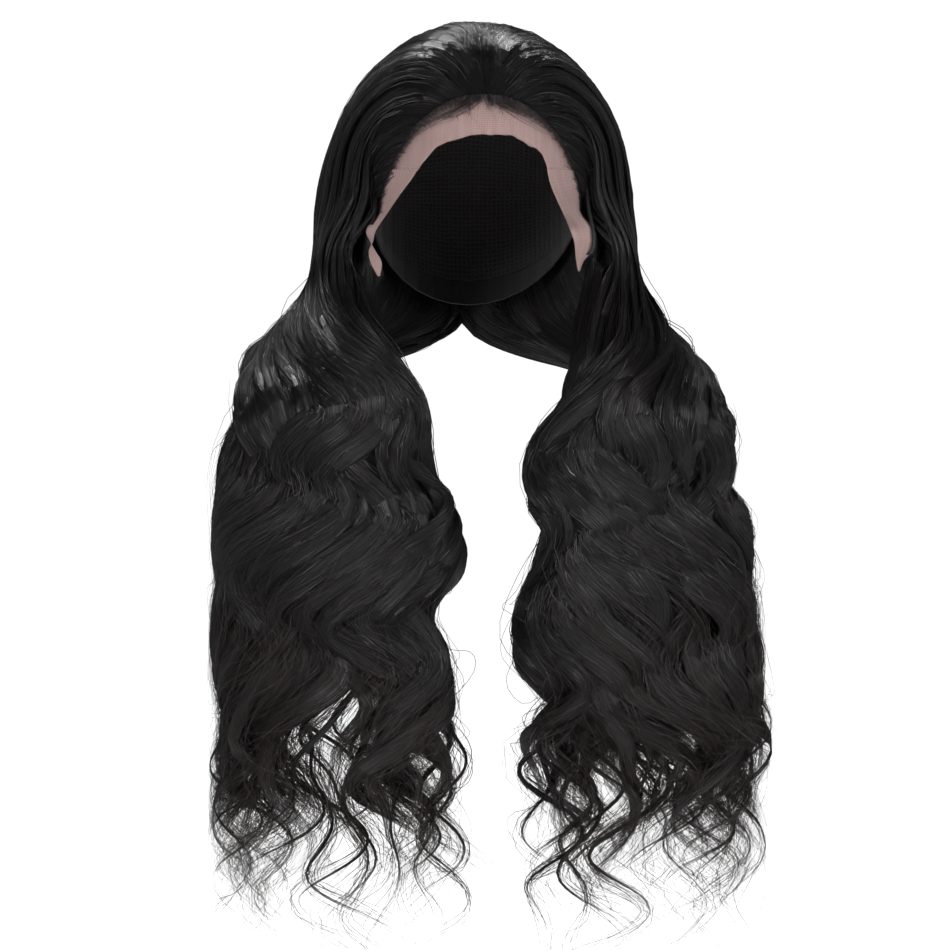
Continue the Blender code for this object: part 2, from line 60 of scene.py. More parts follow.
# %% [markdown]
# ## The sizes of the wig
#
# The sizes that the hair follows are repeated from the solids'
# source: the head that the cap fits, the hairline, the depth of the hair over the cap, and the
# columns that the two lengths gather into. Tables hold shares of the sizes above them. The hair
# behind the neck starts to gather lower here than in the solids, so that it covers the nape band.

# %% Sizes
HEAD_WIDTH, HEAD_DEPTH = 0.152, 0.192
CROWN_RISE, NAPE_REACH = 0.104, 0.150
CAP_WALL, TAB_DROP = 0.0012, 0.0885
EAR_TURN, LACE_BACK_TURN = 80.0, 103.0
HAIR_SEAT, HAIRLINE_DEPTH, TOP_DEPTH, SIDE_DEPTH = 0.0014, 0.003, 0.018, 0.041
BACK_SHARE, RISE_LENGTH, CROWN_DROP = 0.72, 0.045, 0.120
RING_TURN, HAIR_LENGTH, HAIR_SPREAD = 88.0, 0.645, 0.200
DRAPE_REACH, DRAPE_DROP, NAPE_HOLD, SIDE_SWELL = 0.088, 0.265, 0.060, 0.02
FRONT_EDGE, REAR_EDGE, COLUMN_BOW, MASS_DEPTH = 1.08, 0.70, 0.10, 0.042
LEAST_WIDTH, EASE, PART_GAP = 0.002, 0.10, 0.0005

HAIRLINE = np.array([
    # azimuth from the face, drop in shares of CROWN_DROP
    (0.0, 0.312),
    (14.0, 0.318),
    (26.0, 0.355),
    (41.0, 0.460),
    (50.0, 0.595),
    (57.0, 0.725),
    (66.0, 0.890),
    (78.0, 1.000),
])
CROWN_PROFILE = np.array([
    # angle down from the crown, share of SIDE_DEPTH less TOP_DEPTH
    (0.0, 0.00),
    (30.0, 0.12),
    (45.0, 0.28),
    (60.0, 0.41),
    (75.0, 0.52),
    (90.0, 0.78),
    (100.0, 1.00),
])
COLUMNS = {
    # drop, inner edge, outer edge, depth
    "right": np.array([
        (0.18, 0.300, 0.605, 0.62),
        (0.23, 0.300, 0.625, 0.66),
        (0.26, 0.300, 0.650, 0.70),
        (0.28, 0.295, 0.692, 0.72),
        (0.32, 0.280, 0.748, 0.78),
        (0.35, 0.270, 0.778, 0.80),
        (0.39, 0.245, 0.850, 0.85),
        (0.43, 0.215, 0.890, 0.90),
        (0.50, 0.148, 0.925, 0.95),
        (0.55, 0.142, 0.990, 1.00),
        (0.61, 0.176, 0.980, 1.00),
        (0.66, 0.150, 0.955, 1.00),
        (0.71, 0.165, 0.935, 0.98),
        (0.77, 0.190, 0.985, 0.90),
        (0.80, 0.200, 0.900, 0.78),
        (0.83, 0.210, 0.720, 0.62),
        (0.86, 0.240, 0.540, 0.42),
        (0.88, 0.290, 0.420, 0.18),
    ]),
    "left": np.array([
        (0.18, 0.300, 0.585, 0.62),
        (0.25, 0.290, 0.605, 0.68),
        (0.28, 0.265, 0.670, 0.72),
        (0.30, 0.255, 0.705, 0.75),
        (0.33, 0.240, 0.710, 0.78),
        (0.36, 0.230, 0.780, 0.82),
        (0.39, 0.220, 0.820, 0.85),
        (0.44, 0.180, 0.855, 0.90),
        (0.50, 0.190, 0.890, 0.95),
        (0.54, 0.160, 0.925, 0.98),
        (0.57, 0.150, 0.920, 1.00),
        (0.61, 0.146, 0.995, 1.00),
        (0.66, 0.170, 1.045, 1.00),
        (0.70, 0.204, 0.985, 1.00),
        (0.73, 0.270, 0.935, 0.96),
        (0.78, 0.360, 0.990, 0.86),
        (0.81, 0.400, 0.960, 0.74),
        (0.84, 0.430, 0.860, 0.60),
        (0.865, 0.500, 0.780, 0.42),
        (0.885, 0.570, 0.700, 0.18),
    ]),
}
SIDE = {"right": -1.0, "left": 1.0}
print("hair length", HAIR_LENGTH, "m, spread", 2 * HAIR_SPREAD, "m")

# %% [markdown]
# ## Points on the head
#
# The cap is half an ellipsoid over the ears and a longer half ellipsoid under them. A point on
# it is a unit direction times the radii, and the normal is the point over the squared radii.


# %% Points on the head
def smooth(share):
    """3s^2 - 2s^3: from 0 to 1 with level ends."""
    share = np.clip(share, 0.0, 1.0)
    return share * share * (3.0 - 2.0 * share)


def unit(vectors):
    """Each vector over its own length."""
    return vectors / np.maximum(np.linalg.norm(vectors, axis=-1, keepdims=True), 1e-12)


def radii_at(direction):
    """Half the width, half the depth, and the rise over the ears or the reach under them."""
    upright = np.where(direction[..., 2] >= 0.0, CROWN_RISE, NAPE_REACH)
    return np.stack(
        [np.full_like(upright, HEAD_WIDTH / 2), np.full_like(upright, HEAD_DEPTH / 2), upright], -1
    )


def on_head(direction, lift):
    """direction * radii + normal * lift, from the inside of the crown."""
    radii = radii_at(direction)
    point = direction * radii
    normal = unit(point / radii**2)
    return point + normal * np.asarray(lift)[..., None] - np.array([0.0, 0.0, CROWN_RISE])


def head_normal(direction):
    """The unit normal: direction / radii, made one long."""
    radii = radii_at(direction)
    return unit(direction / radii)


def round_crown(azimuth, polar):
    """(sin p sin a, -sin p cos a, cos p): azimuth a from the face, angle p from the crown."""
    azimuth, polar = np.radians(azimuth), np.radians(polar)
    return np.stack(
        [np.sin(polar) * np.sin(azimuth), -np.sin(polar) * np.cos(azimuth), np.cos(polar)], -1
    )


def round_ears(across, turn):
    """(sin a, -cos a cos t, cos a sin t): angle a out to an ear, turn t round the ear axis."""
    across, turn = np.radians(across), np.radians(turn)
    return np.stack(
        [np.sin(across), -np.cos(across) * np.cos(turn), np.cos(across) * np.sin(turn)], -1
    )


def polar_at(drop):
    """acos(rise / radius): the angle from the crown at a drop under it, in degrees."""
    rise = CROWN_RISE - np.asarray(drop)
    upright = np.where(rise >= 0.0, CROWN_RISE, NAPE_REACH)
    return np.degrees(np.arccos(np.clip(rise / upright, -1.0, 1.0)))


def hairline_drop(azimuth):
    """How far under the crown the hairline lies, read from its table."""
    return np.interp(np.abs(azimuth), HAIRLINE[:, 0], HAIRLINE[:, 1]) * CROWN_DROP


def hairline_polar(azimuth):
    return polar_at(hairline_drop(azimuth))


HAIRLINE_POINTS = 60
hairline_turn = np.linspace(-HAIRLINE[-1, 0], HAIRLINE[-1, 0], HAIRLINE_POINTS)
hairline = round_crown(hairline_turn, hairline_polar(hairline_turn))
hairline = on_head(hairline, np.zeros(HAIRLINE_POINTS))


def to_hairline(points):
    """The distance from each point to the nearest point of the hairline, at most a metre."""
    away = np.full(points.shape[:-1], 1.0)
    for point in hairline:
        away = np.minimum(away, np.linalg.norm(points - point, axis=-1))
    return away


print("hairline from", hairline[:, 2].max().round(3), "down to", hairline[:, 2].min().round(3))

# %% [markdown]
# ## How deep the hair lies on the cap
#
# The hair is thin at the hairline and reaches its full depth a few centimetres behind it. At the
# back it is a little flatter than at the sides.


# %% Depth over the cap
def full_depth(azimuth, polar):
    """Top depth + share of the rest by polar angle, less a part behind and low down."""
    share = np.interp(polar, CROWN_PROFILE[:, 0], CROWN_PROFILE[:, 1])
    depth = TOP_DEPTH + (SIDE_DEPTH - TOP_DEPTH) * share
    behind = smooth((np.abs(azimuth) - 90.0) / 90.0)
    return depth * (1.0 - (1.0 - BACK_SHARE) * behind * smooth(polar / 90.0))


def crown_depth(direction):
    """Hairline depth + (full - hairline depth) * smooth(distance to the hairline / rise length)."""
    azimuth = np.degrees(np.arctan2(direction[..., 0], -direction[..., 1]))
    polar = np.degrees(np.arccos(np.clip(direction[..., 2], -1.0, 1.0)))
    seat = on_head(direction, np.zeros(direction.shape[:-1]))
    risen = smooth(to_hairline(seat) / RISE_LENGTH)
    return HAIRLINE_DEPTH + (full_depth(azimuth, polar) - HAIRLINE_DEPTH) * risen


print("depth at the top", float(full_depth(0.0, 0.0)))
print("depth at the sides", float(full_depth(90.0, 100.0)))

# %% [markdown]
# ## The two lengths
#
# Each length is a curtain round its half of the head that gathers into a column in front of the
# shoulder. One grid per side holds its rounded outline at many levels: place 0 to 1 runs from the
# inner front edge over the outer face to the rear edge, and 1 to 2 back over the inner face.


# %% The outline of a length
OUTLINE_STEPS, LEVEL_COUNT, PLACE_COUNT = 41, 110, 161
LAST_LEVEL = 0.88  # where the grids end, in shares of the hair length


def gathered(along, drop):
    """smooth((drop - start) / (end - start)), where the start is lower towards the back."""
    start = CROWN_DROP + NAPE_HOLD * along
    return smooth((drop - start) / (DRAPE_DROP - start))


def ring_middle(along):
    """In plan, the middle of the hair round the head where it leaves the cap."""
    end_depth = full_depth(180.0, 90.0) / 2
    reach = HEAD_DEPTH / 2 + CAP_WALL + HAIR_SEAT + end_depth
    last = 180.0 - math.degrees(math.asin((end_depth + PART_GAP) / reach))
    azimuth = RING_TURN + along * (last - RING_TURN)
    polar = np.full_like(azimuth, float(polar_at(CROWN_DROP)))
    lift = CAP_WALL + HAIR_SEAT + full_depth(azimuth, polar) / 2
    return on_head(round_crown(azimuth, polar), lift)[..., :2]


def column_middle(table, along, drop):
    """A flat bow in plan: (1-a)^2 start + 2a(1-a) control + a^2 end."""
    share = np.full_like(along, drop / HAIR_LENGTH)
    depth = np.interp(share, table[:, 0], table[:, 3]) * MASS_DEPTH
    inner = np.interp(share, table[:, 0], table[:, 1]) * HAIR_SPREAD + depth
    outer = np.interp(share, table[:, 0], table[:, 2]) * HAIR_SPREAD - depth
    outer = np.maximum(outer, inner + LEAST_WIDTH)
    start = np.stack([inner, np.full_like(inner, -FRONT_EDGE * DRAPE_REACH)], -1)
    end = np.stack([outer, np.full_like(inner, -REAR_EDGE * DRAPE_REACH)], -1)
    bow = np.stack([np.zeros_like(inner), COLUMN_BOW * (outer - inner)], -1)
    control = (start + end) / 2 - 2.0 * bow
    along = along[..., None]
    return (1 - along) ** 2 * start + 2 * along * (1 - along) * control + along**2 * end


def mass_middle(table, along, drop):
    """Ring to column, straight down at the face and turning round the head behind."""
    share = gathered(along, drop)
    ring, column = ring_middle(along), column_middle(table, along, drop)
    straight = ring + (column - ring) * np.sqrt(share)[:, None]
    turn = [np.unwrap(np.arctan2(at[..., 0], -at[..., 1])) for at in (ring, column)]
    radius = [np.linalg.norm(at, axis=-1) for at in (ring, column)]
    turn = turn[0] * (1.0 - share) + turn[1] * share
    radius = radius[0] * (1.0 - share) + radius[1] * share
    radius = radius * (1.0 + SIDE_SWELL * np.sin(math.pi * np.sqrt(share)))
    round_head = np.stack([radius * np.sin(turn), -radius * np.cos(turn)], -1)
    behind = smooth(along * 2.0)[:, None]
    return straight * (1.0 - behind) + round_head * behind


def mass_depth(table, along, drop):
    """Half the thickness: half the crown's depth at the top, the column's own below."""
    share = gathered(along, drop)
    azimuth = RING_TURN + along * (180.0 - RING_TURN)
    ring = full_depth(azimuth, np.full_like(azimuth, 90.0)) / 2
    column = np.interp(drop / HAIR_LENGTH, table[:, 0], table[:, 3]) * MASS_DEPTH
    return ring * (1.0 - share) + column * share


def outline(table, drop, place):
    """Points at equal steps round a stadium: the middle line, thickened, with round ends."""
    fine = np.linspace(0.0, 1.0, OUTLINE_STEPS)
    line = mass_middle(table, fine, drop)
    length = np.concatenate([[0.0], np.cumsum(np.linalg.norm(np.diff(line, axis=0), axis=1))])
    thick = mass_depth(table, fine, drop)
    bend = math.pi / 2 * thick[[0, -1]]
    half = bend[0] + length[-1] + bend[1]
    face = np.where(place <= 1.0, 1.0, -1.0)
    run = np.where(place <= 1.0, place, 2.0 - place) * half - bend[0]
    along = np.interp(run, length, fine)
    angle = np.clip(run, -bend[0], 0.0) / thick[0]
    angle = angle + np.clip(run - length[-1], 0.0, bend[1]) / thick[-1]
    tangent = np.gradient(line, fine, axis=0)
    tangent = unit(np.stack([np.interp(along, fine, tangent[:, axis]) for axis in (0, 1)], -1))
    across = np.stack([tangent[:, 1], -tangent[:, 0]], -1) * face[:, None]
    normal = across * np.cos(angle)[:, None] + tangent * np.sin(angle)[:, None]
    middle = np.stack([np.interp(along, fine, line[:, axis]) for axis in (0, 1)], -1)
    point = middle + normal * np.interp(along, fine, thick)[:, None]
    limit = np.interp(drop / HAIR_LENGTH, table[:, 0], table[:, 2]) * HAIR_SPREAD
    start = (1.0 - EASE) * limit
    over = np.maximum(point[:, 0] - start, 0.0)
    point[:, 0] = np.minimum(point[:, 0], start) + EASE * limit * (
        1.0 - np.exp(-over / (EASE * limit))
    )
    point[:, 0] = np.maximum(point[:, 0], PART_GAP)
    return point, middle, half


LEVELS = np.linspace(CROWN_DROP, LAST_LEVEL * HAIR_LENGTH, LEVEL_COUNT)
PLACES = np.linspace(0.0, 2.0, PLACE_COUNT)
GRIDS = {}
for side, table in COLUMNS.items():
    rows = [outline(table, level, PLACES) for level in LEVELS]
    GRIDS[side] = tuple(np.array(part) for part in zip(*rows))
print("outline grids", {side: grid[0].shape for side, grid in GRIDS.items()})


# %% Reading the grids
def read_grid(values, drop, place):
    """Bilinear: a weighted mean of the four grid values round each (drop, place)."""
    row = np.clip((drop - LEVELS[0]) / (LEVELS[1] - LEVELS[0]), 0.0, len(LEVELS) - 1.001)
    column = np.mod(place, 2.0) / (PLACES[1] - PLACES[0])
    column = np.clip(column, 0.0, len(PLACES) - 1.001)
    i, j = row.astype(int), column.astype(int)
    u, v = (row - i)[..., None], (column - j)[..., None]
    return (
        values[i, j] * (1 - u) * (1 - v)
        + values[i + 1, j] * u * (1 - v)
        + values[i, j + 1] * (1 - u) * v
        + values[i + 1, j + 1] * u * v
    )


def in_mass(side, place, drop, depth):
    """Point and outward direction: middle + (outline - middle) * (1 - depth), at -drop."""
    point, middle, _ = GRIDS[side]
    edge, core = read_grid(point, drop, place), read_grid(middle, drop, place)
    plan = core + (edge - core) * (1.0 - depth)[..., None]
    outward = unit(edge - core)
    flat = np.zeros_like(drop)
    position = np.stack([plan[..., 0] * SIDE[side], plan[..., 1], -drop], -1)
    return position, np.stack([outward[..., 0] * SIDE[side], outward[..., 1], flat], -1)


front_edge, _ = in_mass("left", np.array([0.0]), np.array([0.3]), np.array([0.0]))
print("front edge of the left length, 0.3 m down", front_edge)

# %% [markdown]
# ## The path of a lock
#
# The hair fans out from the middle of the hairline, sweeps back over the cap and turns down
# behind the temples. From there it falls with the body wave, which sways it across and lifts it
# in and out, a quarter of a wave apart. Near its end it leaves the mass and curls more tightly.

# %% Over the crown
CROWN_POINTS, FALL_POINTS = 26, 110
FAN_POWER = 6.0
FAN_TURN, FAN_SPREAD = 12.0, 78.0
ARRIVE_LEAST, ARRIVE_FRONT = 0.006, 0.035
ROOT_BACK = 0.55  # how far behind the hairline a lock starts, in shares of its half width
FIRST_LIFT, SEAT_ROUNDS = 0.02, 5  # a guess, and the rounds that find how high a lock arrives
LEAVE_PUSH = 1.2  # how hard a lock leaves its root, in shares of the way to its end
RISE_START, RISE_SHARE, LEAST_LIFT = 0.2, 0.15, 0.06
LAND_FROM, LAND_SHARE = 0.66, 0.34  # the part of the way where a lock settles to its end's height


def arrival(order):
    """The level where a lock has come down from the crown: lower at the temples."""
    return CROWN_DROP + ARRIVE_LEAST + ARRIVE_FRONT * (1.0 - order)


def crown_path(side, end, place, depth, first, width):
    """Hermite curve between two directions: (2t3-3t2+1) root + (t3-2t2+t) start + ... end."""
    count = len(place)
    centre = np.array([0.0, 0.0, -CROWN_RISE])
    lift_end = np.full(count, FIRST_LIFT)
    for _ in range(SEAT_ROUNDS):
        probe = end - centre
        direction = unit(probe / (radii_at(probe) + lift_end[:, None]))
        seat = on_head(direction, np.zeros(count))
        lift_end = np.einsum("ij,ij->i", end - seat, head_normal(direction))
    order = np.where(place <= 1.0, place, 2.0 - place)
    azimuth = HAIRLINE[-1, 0] * (1.0 - order) ** FAN_POWER
    root = round_crown(azimuth * SIDE[side], hairline_polar(azimuth))
    ahead = round_crown((azimuth + 1.0) * SIDE[side], hairline_polar(azimuth + 1.0))
    edge = unit(ahead - root)
    back = np.cross(root, edge)
    back = back * np.sign(back[:, 1:2])
    root = unit(root + back * (ROOT_BACK * width / HEAD_DEPTH * 2)[:, None])
    turn = np.radians(FAN_TURN + FAN_SPREAD * np.sqrt(order))[:, None]
    chord = np.linalg.norm(direction - root, axis=1, keepdims=True)
    leave = (np.cos(turn) * edge + np.sin(turn) * back) * chord * LEAVE_PUSH
    land = np.tile([0.0, 0.0, -1.0], (count, 1)) * chord
    t = first[:, None] + (1.0 - first[:, None]) * np.linspace(0.0, 1.0, CROWN_POINTS)
    c = t[..., None]
    path = (
        (2 * c**3 - 3 * c**2 + 1) * root[:, None]
        + (c**3 - 2 * c**2 + c) * leave[:, None]
        + (3 * c**2 - 2 * c**3) * direction[:, None]
        + (c**3 - c**2) * land[:, None]
    )
    path = unit(path)
    layer = np.where(place <= 1.0, depth, 2.0 - depth)[:, None]
    rise = smooth(RISE_START + (t - first[:, None]) / RISE_SHARE)
    height = np.maximum(1.0 - layer / 2, LEAST_LIFT)
    lift = CAP_WALL + HAIR_SEAT + crown_depth(path) * height * rise
    arrive = smooth((t - LAND_FROM) / LAND_SHARE)
    lift = lift * (1.0 - arrive) + lift_end[:, None] * arrive
    return on_head(path, lift), head_normal(path)


# %% Down the lengths
WAVE_LENGTH, WAVE_LAG, WAVE_OUT = 0.106, 0.65, 0.0088
WAVE_START = {"right": 0.42, "left": 0.10}
WAVE_GROW, INNER_CALM = 0.15, 0.6  # the wave grows on the way down and is weaker inside
LEAST_HALF = 0.08  # half an outline counts as at least this long
WANDER, WANDER_PACE, WANDER_SHIFT = 0.07, 0.27, 23.0
WANDER_SWAY = 0.011  # a lock that sways less than this doesn't wander either
CURL_LENGTH, CURL_GROW, CURL_SHIFT, CURL_AHEAD = 0.080, 0.05, 5.0, 0.7
THIN_FROM, THIN_SHARE = 0.6, 0.4
TEMPLE_BACK, TEMPLE_SHARE = 0.026, 0.18  # how far the locks beside the ear tabs are combed back
TEMPLE_DROP, TEMPLE_FADE = 0.165, 0.09


def fall_path(side, facts, thin=0.0):
    """in_mass(place + sway sin(turn) / half, drop, depth) + outward * out cos(turn)."""
    place, depth, _, finish, release, phase, sway, curl, drift = facts[:, :9].T
    start = arrival(np.where(place <= 1.0, place, 2.0 - place))
    share = np.linspace(0.0, 1.0, FALL_POINTS)[None]
    drop = start[:, None] + (finish - start)[:, None] * share
    held = np.minimum(drop, release[:, None])
    loose = np.maximum(drop - release[:, None], 0.0)
    half = np.interp(held, LEVELS, GRIDS[side][2])
    grown = smooth((drop - start[:, None]) / WAVE_GROW)
    turn = 2 * math.pi * (
        drop / WAVE_LENGTH + WAVE_LAG * place[:, None] + WAVE_START[side] + phase[:, None]
    )
    moved = place[:, None] + sway[:, None] * grown * np.sin(turn) / np.maximum(half, LEAST_HALF)
    wander = WANDER * np.sin(WANDER_PACE * turn + WANDER_SHIFT * phase[:, None])
    moved = moved + wander * (sway[:, None] > WANDER_SWAY) * grown
    thinned = smooth((share - THIN_FROM) / THIN_SHARE)
    inward = depth[:, None] + thin * (1.0 - depth[:, None]) * thinned
    position, outward = in_mass(side, moved, held, inward)
    lift = WAVE_OUT * grown * np.cos(turn) * (1.0 - INNER_CALM * np.clip(inward, 0.0, 1.0))
    position = position + outward * lift[..., None]
    spin = 2 * math.pi * (loose / CURL_LENGTH + CURL_SHIFT * phase[:, None])
    reach = curl[:, None] * smooth(loose / CURL_GROW)
    order = np.minimum(place, 2.0 - place)[:, None]
    back = TEMPLE_BACK * np.exp(-order / TEMPLE_SHARE)
    back = back * (1.0 - smooth((drop - TEMPLE_DROP) / TEMPLE_FADE))
    position[..., 0] += reach * np.sin(spin) + drift[:, None] * loose
    position[..., 1] += CURL_AHEAD * reach * np.cos(spin) + back
    position[..., 2] = -drop
    return position, outward


def spaced(values, along, count):
    """Each row of values at equal steps of length along its path."""
    step = np.linalg.norm(np.diff(along, axis=1), axis=2)
    run = np.concatenate([np.zeros((len(step), 1)), np.cumsum(step, 1)], 1)
    run = run / run[:, -1:]
    want = np.linspace(0.0, 1.0, count)
    upper = np.clip((run[:, None, :] < want[None, :, None]).sum(-1), 1, run.shape[1] - 1)
    low = np.take_along_axis(run, upper - 1, 1)
    high = np.take_along_axis(run, upper, 1)
    weight = ((want[None] - low) / np.maximum(high - low, 1e-9))[..., None]
    before = np.take_along_axis(values, (upper - 1)[..., None], 1)
    after = np.take_along_axis(values, upper[..., None], 1)
    return before * (1 - weight) + after * weight


def softened(values, times):
    """Each inner point moves to a quarter, half, quarter mean with its neighbours."""
    for _ in range(times):
        values = values.copy()
        values[:, 1:-1] = values[:, :-2] / 4 + values[:, 1:-1] / 2 + values[:, 2:] / 4
    return values


JOINT_STEPS, JOINT_PLACES = 7.0, 0.22  # how far the bend from crown to fall is eased
SOFT_PATH, SOFT_JOINT, SOFT_OUT = 4, 40, 12  # rounds of softening


def lock_paths(side, facts, count, thin=0.0):
    """Crown part and fall joined, at equal steps, with the directions across and outwards."""
    fall, fall_out = fall_path(side, facts, thin)
    crown, crown_out = crown_path(side, fall[:, 0], *facts[:, :3].T, facts[:, 9])
    path = np.concatenate([crown, fall[:, 1:]], 1)
    outward = np.concatenate([crown_out, fall_out[:, 1:]], 1)
    order = np.minimum(facts[:, 0], 2.0 - facts[:, 0])[:, None, None]
    from_joint = (np.arange(path.shape[1]) - CROWN_POINTS) / JOINT_STEPS
    joint = np.exp(-(from_joint**2))[None, :, None]
    joint = joint * np.exp(-((order / JOINT_PLACES) ** 2))
    path = softened(path, SOFT_PATH) * (1.0 - joint) + softened(path, SOFT_JOINT) * joint
    outward = unit(spaced(softened(outward, SOFT_OUT), path, count))
    path = spaced(path, path, count)
    tangent = unit(np.gradient(path, axis=1))
    across = unit(np.cross(tangent, outward))
    return path, across, np.cross(across, tangent)


# %% [markdown]
# ## Laying out the locks
#
# Real hair clumps into locks a finger wide that cross and overlap. They are dealt out in layers,
# the deep ones evenly and the outer ones with more chance in their place, wave and end. Locks
# that were waved together share the place of their crests, so each group has one phase.

# %% The layers of locks
chance = np.random.default_rng(24)
LAYERS = (
    # count, depth from, depth to, first place, last place, half width, earliest end, latest end
    (9, 0.55, 0.80, 0.06, 0.96, 0.020, 0.74, 0.84),
    (26, 0.03, 0.16, 0.03, 0.98, 0.0155, 0.77, 0.90),
    (24, -0.07, 0.06, 0.03, 0.98, 0.0120, 0.80, 0.95),
    (9, 0.42, 0.55, 1.03, 1.97, 0.015, 0.72, 0.82),
)
WAVE_GROUPS, GROUP_PHASE, LOCK_PHASE = 7, 0.16, 0.035
# least and most: shares of the hair length, metres, metres, radians and shares of the width
RELEASE, SWAY, CURL = (0.66, 0.77), (0.013, 0.021), (0.010, 0.018)
ROLL, WIDTH_SHARE = (0.35, 0.80), (0.8, 1.25)
DRIFT, DRIFT_LIMITS = (-0.04, 0.07), (-0.16, 0.10)  # mean and spread, then least and most
LOCK_POINTS, LOCK_SIDES = 94, 8


def deal_locks():
    """A row per lock: place, depth, first, finish, release, phase, sway, curl, drift, width."""
    rows = []
    groups = chance.normal(0.0, GROUP_PHASE, 2 * WAVE_GROUPS)
    for count, near, far, start, stop, width, early, late in LAYERS:
        step = (stop - start) / count
        place = start + step * (np.arange(count) + 0.5 + chance.uniform(-0.35, 0.35, count))
        group = groups[(np.mod(place, 2.0) * WAVE_GROUPS).astype(int)]
        # a quarter of the front locks and three quarters of the others start over the crown
        mid_start = chance.random(count) < 0.25 + 0.5 * (place > 0.35)
        rows.append(np.stack([
            place,
            chance.uniform(near, far, count),
            np.where(mid_start, chance.uniform(0.05, 0.5, count), 0.0),
            chance.uniform(early, late, count) * HAIR_LENGTH,
            chance.uniform(*RELEASE, count) * HAIR_LENGTH,
            group + chance.normal(0.0, LOCK_PHASE, count),
            chance.uniform(*SWAY, count),
            chance.uniform(*CURL, count),
            np.clip(chance.normal(*DRIFT, count), *DRIFT_LIMITS),
            width * chance.uniform(*WIDTH_SHARE, count),
        ], 1))
    return np.concatenate(rows)


def lock_width(share):
    """Narrow at the root, full a fifth of the way along, and a quarter of that at the end."""
    return (0.3 + 0.7 * smooth(share / 0.2)) * (1.0 - 0.75 * smooth((share - 0.60) / 0.40))


def lock_flatness(share):
    """Thickness over width: flat over the crown, rounder down the length, flatter at the end."""
    return 0.16 + 0.24 * smooth((share - 0.22) / 0.25) - 0.12 * smooth((share - 0.7) / 0.3)


LOCKS = {}
for side in ("right", "left"):
    facts = deal_locks()
    facts[:, 8] *= SIDE[side]
    path, across, out = lock_paths(side, facts, LOCK_POINTS)
    share = np.linspace(0.0, 1.0, LOCK_POINTS)[None]
    roll = chance.uniform(*ROLL, (len(facts), 1)) * smooth((share - 0.2) / 0.3)
    roll = roll * np.sin(2 * math.pi * (2.6 * share + chance.random((len(facts), 1))))
    turned = across * np.cos(roll)[..., None] + out * np.sin(roll)[..., None]
    out = out * np.cos(roll)[..., None] - across * np.sin(roll)[..., None]
    on_face = (facts[:, 1] < 0.2) & (facts[:, 0] < 1.02)  # strands ride on these locks only
    LOCKS[side] = {"path": path, "across": turned, "out": out, "width": facts[:, 9]}
    LOCKS[side]["outer"] = on_face
    print(side, len(facts), "locks, lowest", path[..., 2].min().round(3))

# %% [markdown]
# ## Locks as closed skins
#
# A lock is a flattened tube: an ellipse carried along its path, wide across the mass and thin
# outwards. Its UV map "Flow" runs round the lock and then along it in metres, so that streaks
# follow the hair. A second map lays each lock out as its own column for baking.


# %% Tubes along paths
def mesh_from(name, points, quads, caps, finish):
    """One mesh from a point array, an array of quads and an array of end faces."""
    mesh = bpy.data.meshes.new(name)
    mesh.vertices.add(len(points))
    mesh.vertices.foreach_set("co", points.astype(np.float32).ravel())
    loops = np.concatenate([quads.ravel(), caps.ravel()]).astype(np.int32)
    mesh.loops.add(len(loops))
    mesh.loops.foreach_set("vertex_index", loops)
    sizes = np.concatenate([np.full(len(quads), 4), np.full(len(caps), caps.shape[1])])
    starts = np.concatenate([[0], np.cumsum(sizes)[:-1]]).astype(np.int32)
    mesh.polygons.add(len(sizes))
    mesh.polygons.foreach_set("loop_start", starts)
    mesh.polygons.foreach_set("use_smooth", np.ones(len(sizes), bool))
    mesh.materials.append(finish)
    mesh.update(calc_edges=True)
    made = bpy.data.objects.new(name, mesh)
    bpy.context.scene.collection.objects.link(made)
    return made


PROUD, SOFT_ZONE = (0.009, 0.007), 0.022  # how far hair may pass the solids' box, x and y


def in_box(points):
    """Past (limit - zone), x and y ease towards the limit: zone * (1 - exp(-over / zone))."""
    points = points.copy()
    for axis, proud in enumerate(PROUD):
        for sign, limit in ((-1.0, -cad_box[0][axis] + proud), (1.0, cad_box[1][axis] + proud)):
            over = np.maximum(points[..., axis] * sign - (limit - SOFT_ZONE), 0.0)
            points[..., axis] -= sign * (over - SOFT_ZONE * (1.0 - np.exp(-over / SOFT_ZONE)))
    return points


def lengths_along(path):
    """The length of each path up to each of its points."""
    step = np.linalg.norm(np.diff(path, axis=1), axis=2)
    return np.concatenate([np.zeros((len(step), 1)), np.cumsum(step, 1)], 1)


# in the baking map: the margins of a lock's column, its fill, and the small faces at its ends
MARGIN_U, FILL_U, MARGIN_V, FILL_V = 0.06, 0.88, 0.03, 0.94
END_U, END_V, FOOT_V, HEAD_V = 0.3, 0.008, 0.012, 0.985


